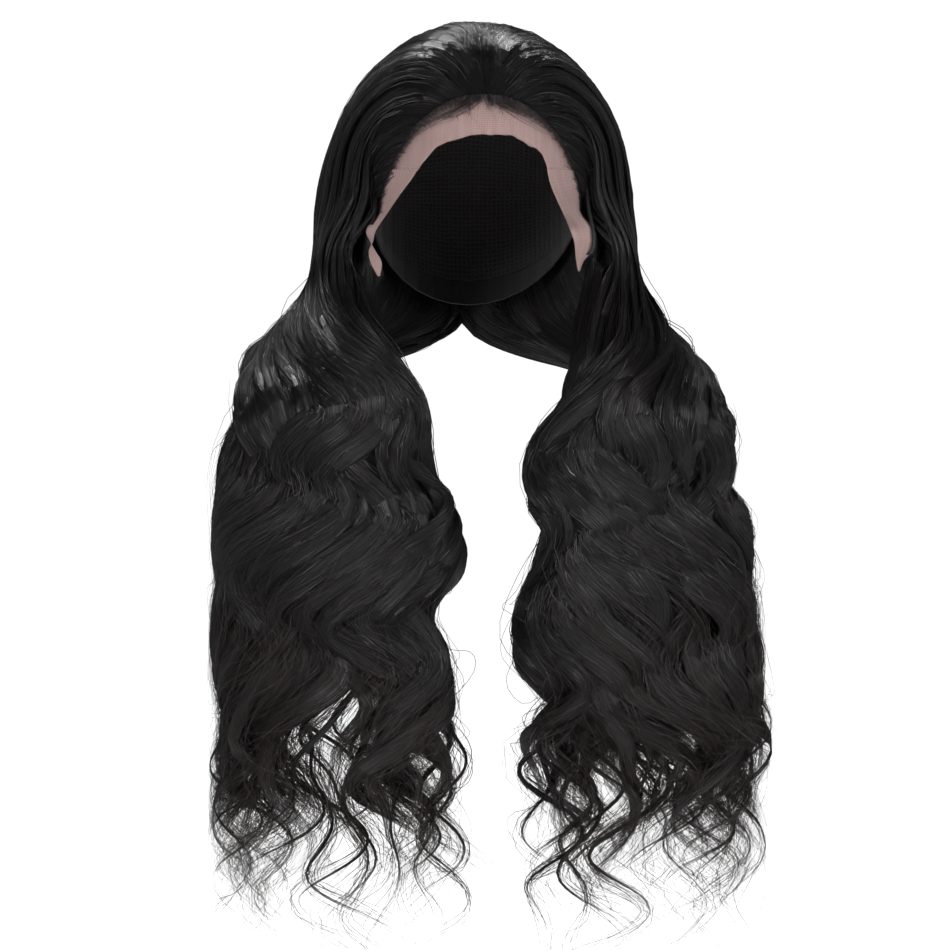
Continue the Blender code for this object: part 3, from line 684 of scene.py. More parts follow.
def tubes(name, ring, finish, tip, seed, bake=True):
    """Closed tubes from rings (tube, step, corner, xyz), with their maps and the tip value."""
    ring = in_box(ring)
    count, steps, sides = ring.shape[:3]
    first = (np.arange(count) * steps * sides)[:, None, None]
    row = (np.arange(steps - 1) * sides)[None, :, None]
    k = np.arange(sides)[None, None, :]
    k2 = (k + 1) % sides
    quads = np.stack(
        [first + row + k, first + row + k2, first + row + sides + k2, first + row + sides + k], -1
    )
    foot_face = first[:, 0] + np.arange(sides)[::-1]
    head_face = first[:, 0] + (steps - 1) * sides + np.arange(sides)
    caps = np.concatenate([foot_face, head_face])
    made = mesh_from(name, ring.reshape(-1, 3), quads.reshape(-1, 4), caps, finish)
    mesh = made.data
    run = lengths_along(ring.mean(2))
    low = np.repeat(run[:, :-1, None], sides, 2)
    high = np.repeat(run[:, 1:, None], sides, 2)
    v = np.stack([low, low, high, high], -1)
    u = np.broadcast_to(np.stack([k, k + 1, k + 1, k], -1) / sides, v.shape)
    flow = np.stack([u + seed[:, None, None, None], v], -1).reshape(-1, 2)
    at_caps = np.stack([np.repeat(seed, sides), np.zeros(count * sides)], -1)
    ends = np.stack([np.repeat(seed, sides), np.repeat(run[:, -1], sides)], -1)
    layer = mesh.uv_layers.new(name="Flow")
    layer.uv.foreach_set("vector", np.concatenate([flow, at_caps, ends]).astype(np.float32).ravel())
    if bake:
        column = np.arange(count)[:, None, None, None]
        spread_u = (column + MARGIN_U + FILL_U * u) / count
        spread_v = MARGIN_V + FILL_V * v / run.max()
        angle = 2 * math.pi * np.arange(sides)[None] / sides
        tiny_u = (np.arange(count)[:, None] + 0.5 + END_U * np.cos(angle)) / count
        foot = np.stack([tiny_u, FOOT_V - END_V * np.sin(angle) + 0 * tiny_u], -1)
        head = np.stack([tiny_u, HEAD_V + END_V * np.sin(angle) + 0 * tiny_u], -1)
        spread = np.stack([spread_u, spread_v], -1).reshape(-1, 2)
        whole = np.concatenate([spread, foot[:, ::-1].reshape(-1, 2), head.reshape(-1, 2)])
        layer = mesh.uv_layers.new(name="OFBake")
        layer.uv.foreach_set("vector", whole.astype(np.float32).ravel())
    mesh.uv_layers.active = mesh.uv_layers["Flow"]
    shade = mesh.attributes.new("tip", "FLOAT", "POINT")
    shade.data.foreach_set("value", np.repeat(tip.reshape(-1), sides).astype(np.float32))
    return made


def ellipse_rings(path, across, out, wide, thick, sides):
    """path + across * wide * cos(angle) + out * thick * sin(angle)."""
    angle = np.linspace(0.0, 2 * math.pi, sides, endpoint=False)
    return (
        path[:, :, None]
        + across[:, :, None] * (wide[..., None] * np.cos(angle))[..., None]
        + out[:, :, None] * (thick[..., None] * np.sin(angle))[..., None]
    )


# %% [markdown]
# ## Hair as a finish
#
# Black hair is glossy along the strand and broken up across it. Streaks across the lock, drawn
# out far along it, drive a fine bump, a small change of colour and gloss, and the gaps between
# the strands of a thinning end. Ends let light through and look brown.


# %% Node helpers
def node_group(name, inputs, outputs):
    """An empty node group with its sockets, and the nodes of its two ends."""
    group = bpy.data.node_groups.new(name, "ShaderNodeTree")
    for label, kind, value in inputs:
        socket = group.interface.new_socket(label, in_out="INPUT", socket_type=kind)
        if value is not None:
            socket.default_value = value
    for label, kind in outputs:
        group.interface.new_socket(label, in_out="OUTPUT", socket_type=kind)
    return group, group.nodes.new("NodeGroupInput"), group.nodes.new("NodeGroupOutput")


def add(tree, kind, **values):
    """A new node of a kind, with its settings."""
    made = tree.nodes.new(kind)
    for key, value in values.items():
        setattr(made, key, value)
    return made


def fill(node, values):
    """Constants on a node's own sockets."""
    for socket, value in values.items():
        node.inputs[socket].default_value = value


def new_finish(name, values):
    """A new material with constants on its shader; also its node tree and the shader."""
    made = bpy.data.materials.new(name)
    made.use_nodes = True
    shader = made.node_tree.nodes["Principled BSDF"]
    fill(shader, values)
    return made, made.node_tree, shader


def map_range(tree, source, low, high, to_low=0.0, to_high=1.0):
    """The source's range low to high, mapped on another and held inside it."""
    made = add(tree, "ShaderNodeMapRange")
    fill(made, {"From Min": low, "From Max": high, "To Min": to_low, "To Max": to_high})
    tree.links.new(source, made.inputs["Value"])
    return made.outputs["Result"]


def times_plus(tree, source, factor, extra):
    """source * factor + extra, where the factor is a number."""
    made = add(tree, "ShaderNodeMath", operation="MULTIPLY_ADD")
    fill(made, {1: factor})
    tree.links.new(source, made.inputs[0])
    tree.links.new(extra, made.inputs[2])
    return made.outputs["Value"]


def bumped(tree, shader, height, distance, strength, invert=False):
    """A bump from a height into the shader's normal."""
    bump = add(tree, "ShaderNodeBump", invert=invert)
    fill(bump, {"Distance": distance, "Strength": strength})
    tree.links.new(height, bump.inputs["Height"])
    tree.links.new(bump.outputs["Normal"], shader.inputs["Normal"])


def mix_colour(tree, factor, first, second):
    """A colour mix by a factor; each colour is a triple or another node's output."""
    made = add(tree, "ShaderNodeMix", data_type="RGBA")
    tree.links.new(factor, made.inputs[0])
    for socket, colour in ((made.inputs[6], first), (made.inputs[7], second)):
        if isinstance(colour, tuple):
            socket.default_value = (*colour, 1.0)
        else:
            tree.links.new(colour, socket)
    return made.outputs[2]


def noise(tree, vector, scale, detail):
    """Flat noise from 0 to 1."""
    made = add(tree, "ShaderNodeTexNoise", noise_dimensions="2D")
    fill(made, {"Scale": scale, "Detail": detail})
    tree.links.new(vector, made.inputs["Vector"])
    return made.outputs["Fac"]


# %% The streaks of hair
streaks, given, put_out = node_group(
    "hair streaks",
    [("Flow", "NodeSocketVector", None), ("Strands", "NodeSocketFloat", 60.0)],
    [("Mask", "NodeSocketFloat"), ("Broad", "NodeSocketFloat"), ("Fine", "NodeSocketFloat")],
)
STREAKS_ALONG = 4.0  # changes of a streak in a metre of hair, against "Strands" round the lock
stretch = add(streaks, "ShaderNodeCombineXYZ")
fill(stretch, {"Y": STREAKS_ALONG})
scaled = add(streaks, "ShaderNodeVectorMath", operation="MULTIPLY")
streaks.links.new(given.outputs["Strands"], stretch.inputs["X"])
streaks.links.new(given.outputs["Flow"], scaled.inputs[0])
streaks.links.new(stretch.outputs["Vector"], scaled.inputs[1])
for socket, scale, detail in (("Mask", 1.0, 3.0), ("Broad", 0.17, 2.0)):
    level = noise(streaks, scaled.outputs["Vector"], scale, detail)
    streaks.links.new(map_range(streaks, level, 0.3, 0.7), put_out.inputs[socket])
streaks.links.new(noise(streaks, scaled.outputs["Vector"], 2.3, 2.0), put_out.inputs["Fine"])

HAIR_DARK, HAIR_LIGHT = (0.0014, 0.0013, 0.0016), (0.0110, 0.0098, 0.0112)
HAIR_BROWN, HAIR_TIP = (0.0130, 0.0090, 0.0088), (0.038, 0.025, 0.022)


def hair_material(name, strands, gloss):
    """Streaked black hair, which breaks up into strands where "tip" rises."""
    made, tree, shader = new_finish(name, {"Specular IOR Level": gloss, "Anisotropic": 0.7})
    flow = add(tree, "ShaderNodeUVMap", uv_map="Flow")
    group = add(tree, "ShaderNodeGroup", node_tree=streaks)
    fill(group, {"Strands": strands})
    tree.links.new(flow.outputs["UV"], group.inputs["Flow"])
    mask, broad, fine = (group.outputs[socket] for socket in ("Mask", "Broad", "Fine"))
    tip = add(tree, "ShaderNodeAttribute", attribute_name="tip").outputs["Fac"]
    black = mix_colour(tree, mask, HAIR_DARK, HAIR_LIGHT)
    warm = mix_colour(tree, map_range(tree, broad, 0.62, 0.95), black, HAIR_BROWN)
    colour = mix_colour(tree, map_range(tree, tip, 0.2, 1.0, 0.0, 0.6), warm, HAIR_TIP)
    tree.links.new(colour, shader.inputs["Base Color"])
    # fine streaks are glossier than the hair between them, and more so on the broad streaks
    broad_shine = map_range(tree, broad, 0.0, 1.0, 0.0, 0.4)
    shine = times_plus(tree, map_range(tree, fine, 0.36, 0.64), 0.6, broad_shine)
    rough = map_range(tree, shine, 0.1, 0.9, 0.58, 0.20)
    tree.links.new(rough, shader.inputs["Roughness"])
    bumped(tree, shader, mask, 0.0014, 1.0)
    tangent = add(tree, "ShaderNodeTangent", direction_type="UV_MAP", uv_map="Flow")
    tree.links.new(tangent.outputs["Tangent"], shader.inputs["Tangent"])
    # the gaps open where the fine noise less 1.3 times the tip falls under a limit
    worn = times_plus(tree, tip, -1.3, fine)
    tree.links.new(map_range(tree, worn, -0.62, -0.52), shader.inputs["Alpha"])
    return made


lock_hair = hair_material("black_hair_locks", 80.0, 0.42)
core_hair = hair_material("black_hair_core", 420.0, 0.25)
wisp_hair = hair_material("brown_black_wisps", 22.0, 0.42)


def strand_material(name, colour, roughness):
    """Plain glossy hair for strands that are too thin for streaks."""
    values = {"Base Color": (*colour, 1.0), "Specular IOR Level": 0.6, "Roughness": roughness}
    return new_finish(name, values)[0]


strand_hair = strand_material("black_hair_strands", (0.0075, 0.0066, 0.0072), 0.30)
end_hair = strand_material("brown_black_hair_ends", (0.024, 0.0160, 0.0150), 0.38)
print("hair finishes made")

# %% The dark body under the locks
CORE_PLACES, CORE_POINTS, CORE_SWAY, CORE_THIN = 66, 96, 0.0105, 0.97
CORE_END, CORE_END_WAVE, CORE_INSET = 0.71, 0.03, 0.12
hair_pieces = []
for side in ("right", "left"):
    outer = np.linspace(0.0, 1.0, CORE_PLACES // 2) ** 1.5
    place = np.concatenate([outer, 2.0 - outer[-2:0:-1]])
    count = len(place)
    none, level = np.zeros(count), np.ones(count)
    ripple = 0.05 * np.sin(2 * math.pi * 3.0 * place)
    finish = (CORE_END + CORE_END_WAVE * np.sin(2 * math.pi * 4.0 * place)) * HAIR_LENGTH
    depth = CORE_INSET * (1.0 - np.exp(-(((1.0 - place) / 0.10) ** 2)))
    release, sway = HAIR_LENGTH * level, CORE_SWAY * level
    facts = np.stack([place, depth, none, finish, release, ripple, sway, none, none, none], 1)
    path, _, _ = lock_paths(side, facts, CORE_POINTS, thin=CORE_THIN)
    ring = path.transpose(1, 0, 2)[None]
    if side == "left":
        ring = ring[:, :, ::-1]
    tip = smooth((np.linspace(0.0, 1.0, CORE_POINTS) - 0.78) / 0.20)[None]
    core = tubes(f"hair_core_{side}", ring, core_hair, tip, np.zeros(1), False)
    hair_pieces.append(core)
    print(core.name, len(core.data.polygons), "faces")

# %% The lock pieces
share = np.linspace(0.0, 1.0, LOCK_POINTS)
for side, locks in LOCKS.items():
    wide = locks["width"][:, None] * lock_width(share)[None]
    thick = wide * lock_flatness(share)
    ring = ellipse_rings(locks["path"], locks["across"], locks["out"], wide, thick, LOCK_SIDES)
    tip = smooth((share - 0.58) / 0.42)[None] * np.ones_like(wide)
    seed = chance.uniform(0.0, 50.0, len(wide))
    piece = tubes(f"locks_{side}", ring, lock_hair, tip, seed)
    hair_pieces.append(piece)
    print(piece.name, len(piece.data.polygons), "faces")

# %% [markdown]
# ## Strands
#
# Fine strands ride on the locks: each keeps a place in its lock's cross-section, wanders a little
# along the way, and spreads where the lock thins out. A few leave their lock and fly away.


# %% Strands along the locks
def strand_rings(centre, towards, radius):
    """Three-sided rings round each strand, square to its way."""
    tangent = unit(np.gradient(centre, axis=1))
    sideways = unit(np.cross(tangent, towards))
    return ellipse_rings(centre, sideways, np.cross(sideways, tangent), radius, radius, 3)


SWING, SWING_RATE = 0.9, 1.6  # how far a strand turns to and fro round its lock, and how often
END_FROM, END_SHARE, FLARE_REACH = 0.66, 0.34, 0.016
WANDER_LEAST, WANDER_MORE = 3.0, 5.0  # turns of the wander in a whole lock


def strands_on(locks, count, points, begin, end, around, girth, stray, flare):
    """Lock path + across * a + out * b, with a wander that grows along the way.

    Begin and end are shares of the lock's length, around a share of its half width, and girth
    and stray metres. Flare, 0 to 1, is how far the strands spread where the lock thins out.
    """
    pick = chance.choice(np.flatnonzero(locks["outer"]), count)
    want = begin[:, None] + (end - begin)[:, None] * np.linspace(0.0, 1.0, points)
    steps = locks["path"].shape[1]
    place = want * (steps - 1)
    low = np.clip(place.astype(int), 0, steps - 2)
    weight = (place - low)[..., None]

    def along(values):
        chosen = values[pick]
        before = np.take_along_axis(chosen, low[..., None], 1)
        return before * (1 - weight) + np.take_along_axis(chosen, low[..., None] + 1, 1) * weight

    path, across, out = along(locks["path"]), along(locks["across"]), along(locks["out"])
    wander = chance.random((6, count))[..., None]
    angle = SWING * np.sin(2 * math.pi * (SWING_RATE * want + wander[1]))
    angle = 2 * math.pi * wander[0] + angle
    ends = smooth((want - END_FROM) / END_SHARE)
    wide = locks["width"][pick][:, None] * (0.5 + 0.5 * smooth(want / 0.25)) * around[:, None]
    wide = wide * (1.0 - 0.35 * ends * (1.0 - flare))
    thick = wide * (0.18 + 0.24 * smooth((want - 0.22) / 0.25) + 0.2 * ends * flare)
    a = wide * np.cos(angle)
    b = thick * np.sin(angle)
    begun = smooth(np.linspace(0.0, 1.0, points) / 0.3)[None]
    loose = stray[:, None] * (0.25 + 0.75 * smooth(want / 0.5))
    loose = (loose + flare * FLARE_REACH * ends * wander[2]) * begun
    rate_a, rate_b = WANDER_LEAST + WANDER_MORE * wander[3], WANDER_LEAST + WANDER_MORE * wander[4]
    a = a + loose * np.sin(2 * math.pi * (want * rate_a + wander[1]))
    b = b + 0.8 * loose * np.cos(2 * math.pi * (want * rate_b + wander[5]))
    centre = path + across * a[..., None] + out * b[..., None]
    step = np.linspace(0.0, 1.0, points)[None]
    radius = girth[:, None] * (0.4 + 0.6 * smooth(step / 0.08))
    radius = radius * (1.0 - 0.6 * smooth((step - 0.6) / 0.4))
    return strand_rings(centre, out, radius)


LONG_STRANDS, LONG_POINTS, FLYING_SHARE = 500, 40, 0.08
MIST_STRANDS, WISPS, WISP_STRANDS, END_POINTS = 360, 44, 18, 26
STRAY, FLYING_STRAY, MIST_STRAY = 0.0012, 0.0035, (0.002, 0.006)
LONG_GIRTH, WISP_GIRTH, MIST_GIRTH = (0.00020, 0.00036), (0.00016, 0.00030), (0.00013, 0.00024)
WISP_POINTS, WISP_START = 140, 70  # the steps of a wisp's path, and the one where it comes out
WISP_DEPTH, WISP_FINISH, WISP_RELEASE = (-0.04, 0.30), (0.89, 1.012), (0.64, 0.74)
WISP_SWAY, WISP_CURL, WISP_WIDTH = (0.012, 0.018), (0.010, 0.020), (0.0028, 0.0064)
WISP_PHASE, WISP_DRIFT, WISP_DRIFT_LIMITS = 0.15, (-0.03, 0.06), (-0.14, 0.09)
WISP_SIDES, WISP_LEAST = 5, 0.0002
WISP_PLACES = 1.2  # wisps come out of the outer face and a little of the inner one


def strand_piece(name, ring, finish):
    """A piece of strands, with neither a tip value nor a baking map to tell them apart."""
    count = len(ring)
    made = tubes(name, ring, finish, np.zeros(ring.shape[:2]), np.zeros(count), False)
    hair_pieces.append(made)


for side, locks in LOCKS.items():
    count = LONG_STRANDS
    begin = np.where(chance.random(count) < 0.5, 0.0, chance.uniform(0.0, 0.3, count))
    flying = chance.random(count) < FLYING_SHARE
    around = np.where(flying, chance.uniform(1.1, 1.35, count), chance.uniform(0.95, 1.10, count))
    stray = np.where(flying, FLYING_STRAY, STRAY) * chance.uniform(0.4, 1.3, count)
    ring = strands_on(
        locks, count, LONG_POINTS, begin, chance.uniform(0.80, 1.0, count), around,
        chance.uniform(*LONG_GIRTH, count), stray, 0.4,
    )
    strand_piece(f"strands_{side}", ring, strand_hair)

# %% [markdown]
# ## Wisps and mist
#
# Below the shoulders the waves tighten and the ends part into thin curls, with a mist of single
# hairs between them. A wisp is a bundle of strands round a path of its own; the mist follows the
# locks but strays further.

# %% The ends
for side, locks in LOCKS.items():
    count = WISPS
    facts = np.stack([
        (np.arange(count) + chance.uniform(0.1, 0.9, count)) / count * WISP_PLACES,
        chance.uniform(*WISP_DEPTH, count),
        np.zeros(count),
        chance.uniform(*WISP_FINISH, count) * HAIR_LENGTH,
        chance.uniform(*WISP_RELEASE, count) * HAIR_LENGTH,
        chance.normal(0.0, WISP_PHASE, count),
        chance.uniform(*WISP_SWAY, count),
        chance.uniform(*WISP_CURL, count),
        np.clip(chance.normal(*WISP_DRIFT, count), *WISP_DRIFT_LIMITS) * SIDE[side],
        chance.uniform(*WISP_WIDTH, count),
    ], 1)
    path, across, out = lock_paths(side, facts, WISP_POINTS)
    wisps = {"path": path, "across": across, "out": out, "width": facts[:, 9]}
    wisps["outer"] = np.ones(count, bool)
    share = np.linspace(0.0, 1.0, WISP_POINTS)[None, WISP_START:]
    wide = facts[:, 9:] * smooth((share - 0.48) / 0.1)
    wide = wide * (1.0 - 0.92 * smooth((share - 0.62) / 0.38))
    ends = [values[:, WISP_START:] for values in (path, across, out)]
    wide, thick = 0.5 * wide + WISP_LEAST, 0.36 * wide + WISP_LEAST
    ring = ellipse_rings(*ends, wide, thick, WISP_SIDES)
    tip = smooth((share - 0.60) / 0.40) * np.ones_like(wide)
    piece = tubes(f"wisps_{side}", ring, wisp_hair, tip, chance.uniform(0.0, 50.0, count))
    hair_pieces.append(piece)
    count = WISPS * WISP_STRANDS
    around = 0.3 + 2.2 * chance.random(count)
    ring = strands_on(
        wisps, count, END_POINTS, chance.uniform(0.56, 0.70, count),
        chance.uniform(0.86, 1.0, count), around, chance.uniform(*WISP_GIRTH, count),
        STRAY * around, 0.3,
    )
    strand_piece(f"wisp_strands_{side}", ring, end_hair)
    count = MIST_STRANDS
    ring = strands_on(
        locks, count, END_POINTS, chance.uniform(0.50, 0.72, count),
        chance.uniform(0.92, 1.0, count), chance.uniform(0.2, 1.8, count),
        chance.uniform(*MIST_GIRTH, count), chance.uniform(*MIST_STRAY, count), 1.0,
    )
    strand_piece(f"mist_{side}", ring, end_hair)
print("strands:", 2 * (LONG_STRANDS + MIST_STRANDS + WISPS * WISP_STRANDS))

# %% Onto the body
for piece in hair_pieces:
    side = "left" if "left" in piece.name else "right"
    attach(piece, "root")
    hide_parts("crown_hair", f"hair_{side}")

# %% [markdown]
# ## Lace at the front
#
# The front of the cap is a very fine lace, sheer enough that the dark net shows through. It is
# made as a thin sheet on the head's own surface, with the slightly uneven edge that scissors
# leave, because the solid's straight facets would show.

# %% The lace sheets
LACE_EDGE = np.array([
    # place from the middle to the ear, edge drop on the right and left in shares of TAB_DROP
    (0.00, 0.735, 0.735),
    (0.14, 0.742, 0.730),
    (0.26, 0.765, 0.750),
    (0.35, 0.790, 0.795),
    (0.44, 0.830, 0.825),
    (0.52, 0.895, 0.870),
    (0.555, 0.935, 0.965),
    (0.57, 0.950, 1.010),
    (0.62, 1.010, 1.010),
    (1.00, 1.010, 1.010),
])
LACE_COLUMNS, LACE_ROWS = 160, 46
LACE_LIFT, LACE_THICKNESS = 0.0005, 0.00035


def lace_edge_turn(across):
    """asin((rise - drop) / (rise cos across)): the turn of the cut edge round the ear axis."""
    place = np.abs(np.sin(np.radians(across)))
    right = np.interp(place, LACE_EDGE[:, 0], LACE_EDGE[:, 1])
    left = np.interp(place, LACE_EDGE[:, 0], LACE_EDGE[:, 2])
    drop = np.where(across < 0.0, right, left) * TAB_DROP
    drop = drop + 0.0004 * np.sin(0.31 * across) + 0.0002 * np.sin(0.83 * across + 1.0)
    rise = (CROWN_RISE - drop) / (CROWN_RISE * np.cos(np.radians(across)))
    return np.degrees(np.arcsin(np.clip(rise, -1.0, 1.0)))


def cloth_sheet(name, points, thickness, finish):
    """A grid of points as a sheet with a Cloth map in metres, given its wall by Solidify."""
    rows, columns = points.shape[:2]
    index = np.arange(rows * columns).reshape(rows, columns)
    quads = np.stack([index[:-1, :-1], index[:-1, 1:], index[1:, 1:], index[1:, :-1]], -1)
    quads = quads.reshape(-1, 4)
    made = mesh_from(name, points.reshape(-1, 3), quads, np.zeros((0, 4), int), finish)
    width = lengths_along(points).mean(0)[None, :] + 0 * points[..., 0]
    height = lengths_along(points.transpose(1, 0, 2)).mean(0)[:, None] + 0 * points[..., 0]
    at = np.stack([width, height], -1).reshape(-1, 2)[quads.ravel()]
    made.data.uv_layers.new(name="Cloth").uv.foreach_set("vector", at.astype(np.float32).ravel())
    wall = made.modifiers.new("wall", "SOLIDIFY")
    wall.thickness = thickness
    wall.offset = 0.0
    return made, float(width.max()), float(height.max())


def sheet_area(points):
    """The sum of both triangles of each grid cell."""
    a, b = points[1:, :-1] - points[:-1, :-1], points[:-1, 1:] - points[:-1, :-1]
    c, d = points[1:, :-1] - points[1:, 1:], points[:-1, 1:] - points[1:, 1:]
    first = np.linalg.norm(np.cross(a, b), axis=-1).sum()
    return float(first + np.linalg.norm(np.cross(c, d), axis=-1).sum()) / 2


# near the hairline the lace is darkened brown: partly its real knots, partly painted shadow of the
# hair over it
KNOT_AND_SHADOW_BROWN, PALE_THREAD = (0.055, 0.036, 0.032), (0.95, 0.80, 0.74)
KNOT_AND_SHADOW_DARKNESS, KNOT_AND_SHADOW_REACH = 0.85, 0.0055  # how dark the knots and the painted shadow of the hair make the lace, and how far in front of the hairline they reach


def round_map(tree):
    """(angle round the ears * half the depth, place across): a flat map for a cap without one."""
    apart = add(tree, "ShaderNodeSeparateXYZ")
    tree.links.new(add(tree, "ShaderNodeTexCoord").outputs["Object"], apart.inputs[0])
    angle = add(tree, "ShaderNodeMath", operation="ARCTAN2")
    rise = add(tree, "ShaderNodeMath", operation="ADD")
    fill(rise, {1: CROWN_RISE})
    tree.links.new(apart.outputs["Z"], rise.inputs[0])
    tree.links.new(rise.outputs["Value"], angle.inputs[0])
    tree.links.new(apart.outputs["Y"], angle.inputs[1])
    joined = add(tree, "ShaderNodeCombineXYZ")
    run = add(tree, "ShaderNodeMath", operation="MULTIPLY")
    fill(run, {1: HEAD_DEPTH / 2})
    tree.links.new(angle.outputs["Value"], run.inputs[0])
    tree.links.new(run.outputs["Value"], joined.inputs["X"])
    tree.links.new(apart.outputs["X"], joined.inputs["Y"])
    return joined.outputs["Vector"]


def cloth_material(name, thread, gap, cell, roughness, alpha=None, streaky=0.0):
    """A net of cells: threads, gaps and their bump. Lace also has an alpha, streaks, and knots with
    painted shadow of the hair near the hairline.
    """
    made, tree, shader = new_finish(name, {"Roughness": roughness, "Sheen Weight": 0.25})
    if alpha:
        place = add(tree, "ShaderNodeUVMap", uv_map="Cloth").outputs["UV"]
    else:
        place = round_map(tree)
    cells = add(tree, "ShaderNodeTexVoronoi", feature="DISTANCE_TO_EDGE", voronoi_dimensions="2D")
    fill(cells, {"Scale": 1.0 / cell, "Randomness": 0.35})
    tree.links.new(place, cells.inputs["Vector"])
    open_part = map_range(tree, cells.outputs["Distance"], 0.08, 0.28)
    colour = mix_colour(tree, open_part, thread, gap)
    if alpha:
        pulled = add(tree, "ShaderNodeVectorMath", operation="MULTIPLY")
        fill(pulled, {1: (1.0, 0.12, 1.0)})
        tree.links.new(place, pulled.inputs[0])
        shade = map_range(tree, noise(tree, pulled.outputs["Vector"], 260.0, 4.0), 0.35, 0.65)
        shade = map_range(tree, shade, 0.0, 1.0, 0.0, streaky)
        colour = mix_colour(tree, shade, colour, PALE_THREAD)
        # painted shadow of the hair and the dark knots, as one darkening of the lace towards the
        # hairline
        knots_and_shadow = add(tree, "ShaderNodeAttribute", attribute_name="knots_and_shadow").outputs["Fac"]
        colour = mix_colour(tree, knots_and_shadow, colour, KNOT_AND_SHADOW_BROWN)
        tree.links.new(map_range(tree, open_part, 0.0, 1.0, *alpha), shader.inputs["Alpha"])
    tree.links.new(colour, shader.inputs["Base Color"])
    bumped(tree, shader, open_part, 0.0003, 0.6, invert=True)
    return made


LACE_BROWNS = (0.44, 0.288, 0.272), (0.37, 0.240, 0.226)
NET_BLACKS = (0.034, 0.030, 0.030), (0.007, 0.0062, 0.0062)
ELASTIC_BLACKS = (0.024, 0.023, 0.024), (0.009, 0.009, 0.009)
lace = cloth_material("brown_lace", *LACE_BROWNS, 0.0011, 0.8, (0.95, 0.66), 0.08)
net = cloth_material("dark_net", *NET_BLACKS, 0.0032, 0.75)
elastic = cloth_material("black_elastic", *ELASTIC_BLACKS, 0.0014, 0.85)

across = np.linspace(-EAR_TURN, EAR_TURN, LACE_COLUMNS)
share = np.linspace(0.0, 1.0, LACE_ROWS)[:, None]
turn = lace_edge_turn(across)[None] * (1.0 - share) + (LACE_BACK_TURN - 0.2) * share
across = np.broadcast_to(across, turn.shape)
ripple = 0.0004 * np.sin(across * 0.9 + 2.0) * np.exp(-share * 30.0)
points = on_head(round_ears(across, turn), LACE_LIFT + ripple)
lace_sheet, wide, high = cloth_sheet("lace_sheet", points, LACE_THICKNESS, lace)
# painted shadow of the hair together with the knots: darkest at the hairline, fading in front of it
shade = KNOT_AND_SHADOW_DARKNESS * np.exp(-((to_hairline(points) / KNOT_AND_SHADOW_REACH) ** 1.5))
knots_and_shadow = lace_sheet.data.attributes.new("knots_and_shadow", "FLOAT", "POINT")
knots_and_shadow.data.foreach_set("value", shade.ravel().astype(np.float32))
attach(lace_sheet, "root")
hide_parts("lace_front")
high = sheet_area(points) / wide
print("lace sheet flat", round(wide, 3), "x", round(high, 3), "m")

# %% The ear tabs
SEAM_LIFT = 0.0003
TABS = {
    "left": (
        # on the head: drop, front, rear
        np.array([
            (0.99, 0.563, 0.86),
            (1.08, 0.583, 0.88),
            (1.17, 0.623, 0.91),
            (1.27, 0.710, 0.94),
        ]),
        # loose: drop, front out, front ahead, rear out, rear ahead, bow
        np.array([
            (1.44, 0.810, 0.51, 1.04, 0.43, 0.02),
            (1.54, 0.855, 0.50, 1.08, 0.42, 0.03),
            (1.62, 0.870, 0.49, 1.05, 0.43, 0.02),
            (1.70, 0.88, 0.48, 0.96, 0.45, 0.01),
            (1.79, 0.90, 0.47, 0.915, 0.465, 0.0),
        ]),
    ),
    "right": (
        np.array([
            (0.99, 0.605, 0.94),
            (1.07, 0.660, 0.93),
            (1.17, 0.745, 0.93),
            (1.27, 0.855, 0.95),
        ]),
        np.array([
            (1.46, 0.98, 0.50, 1.07, 0.44, 0.0),
            (1.56, 1.02, 0.61, 1.04, 0.56, 0.0),
            (1.64, 1.06, 0.68, 1.00, 0.71, 0.0),
            (1.73, 1.05, 0.78, 0.95, 0.81, 0.0),
            (1.84, 0.99, 0.87, 0.97, 0.88, 0.0),
        ]),
    ),
}
TAB_COLUMNS, TAB_ROWS = 22, 44


def tab_rows(seated, loose, side):
    """Rows of a tab: on the head under the seam, then from its loose front to its loose rear."""
    share = np.linspace(0.0, 1.0, TAB_COLUMNS)
    drop, front, rear = seated.T[:, :, None]
    out_from_middle = np.arcsin(front + (rear - front) * share)
    rise = (CROWN_RISE - drop * TAB_DROP) / CROWN_RISE
    turn = np.arcsin(rise / np.cos(out_from_middle))
    direction = round_ears(np.degrees(out_from_middle), np.degrees(turn))
    held = on_head(direction, np.full(turn.shape, LACE_LIFT + SEAM_LIFT))
    drop, front_out, front_ahead, rear_out, rear_ahead, bow = loose.T[:, :, None]
    out = front_out + (rear_out - front_out) * share + bow * 4.0 * share * (1.0 - share)
    ahead = front_ahead + (rear_ahead - front_ahead) * share
    down = -drop * TAB_DROP + 0 * out
    hanging = np.stack([out * HEAD_WIDTH / 2, -ahead * HEAD_DEPTH / 2, down], -1)
    rows = np.concatenate([held, hanging])
    rows[..., 0] *= SIDE[side]
    return rows


def eased_rows(rows, count):
    """Catmull-Rom curve through the rows, so that the tab bends without creases."""
    at = np.linspace(0.0, len(rows) - 1.001, count)
    i = at.astype(int)
    t = (at - i)[:, None, None]
    last = len(rows) - 1
    p0, p1 = rows[np.maximum(i - 1, 0)], rows[i]
    p2, p3 = rows[np.minimum(i + 1, last)], rows[np.minimum(i + 2, last)]
    return 0.5 * (
        2 * p1 + (p2 - p0) * t + (2 * p0 - 5 * p1 + 4 * p2 - p3) * t**2
        + (3 * p1 - p0 - 3 * p2 + p3) * t**3
    )


for side, (seated, loose) in TABS.items():
    points = eased_rows(tab_rows(seated, loose, side), TAB_ROWS)
    if side == "left":
        points = points[:, ::-1]
    tab, wide, high = cloth_sheet(f"lace_tab_{side}", points, LACE_THICKNESS, lace)
    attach(tab, "root")
    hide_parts(f"ear_tab_{side}")
    high = lengths_along(points.transpose(1, 0, 2))[:, -1].max()

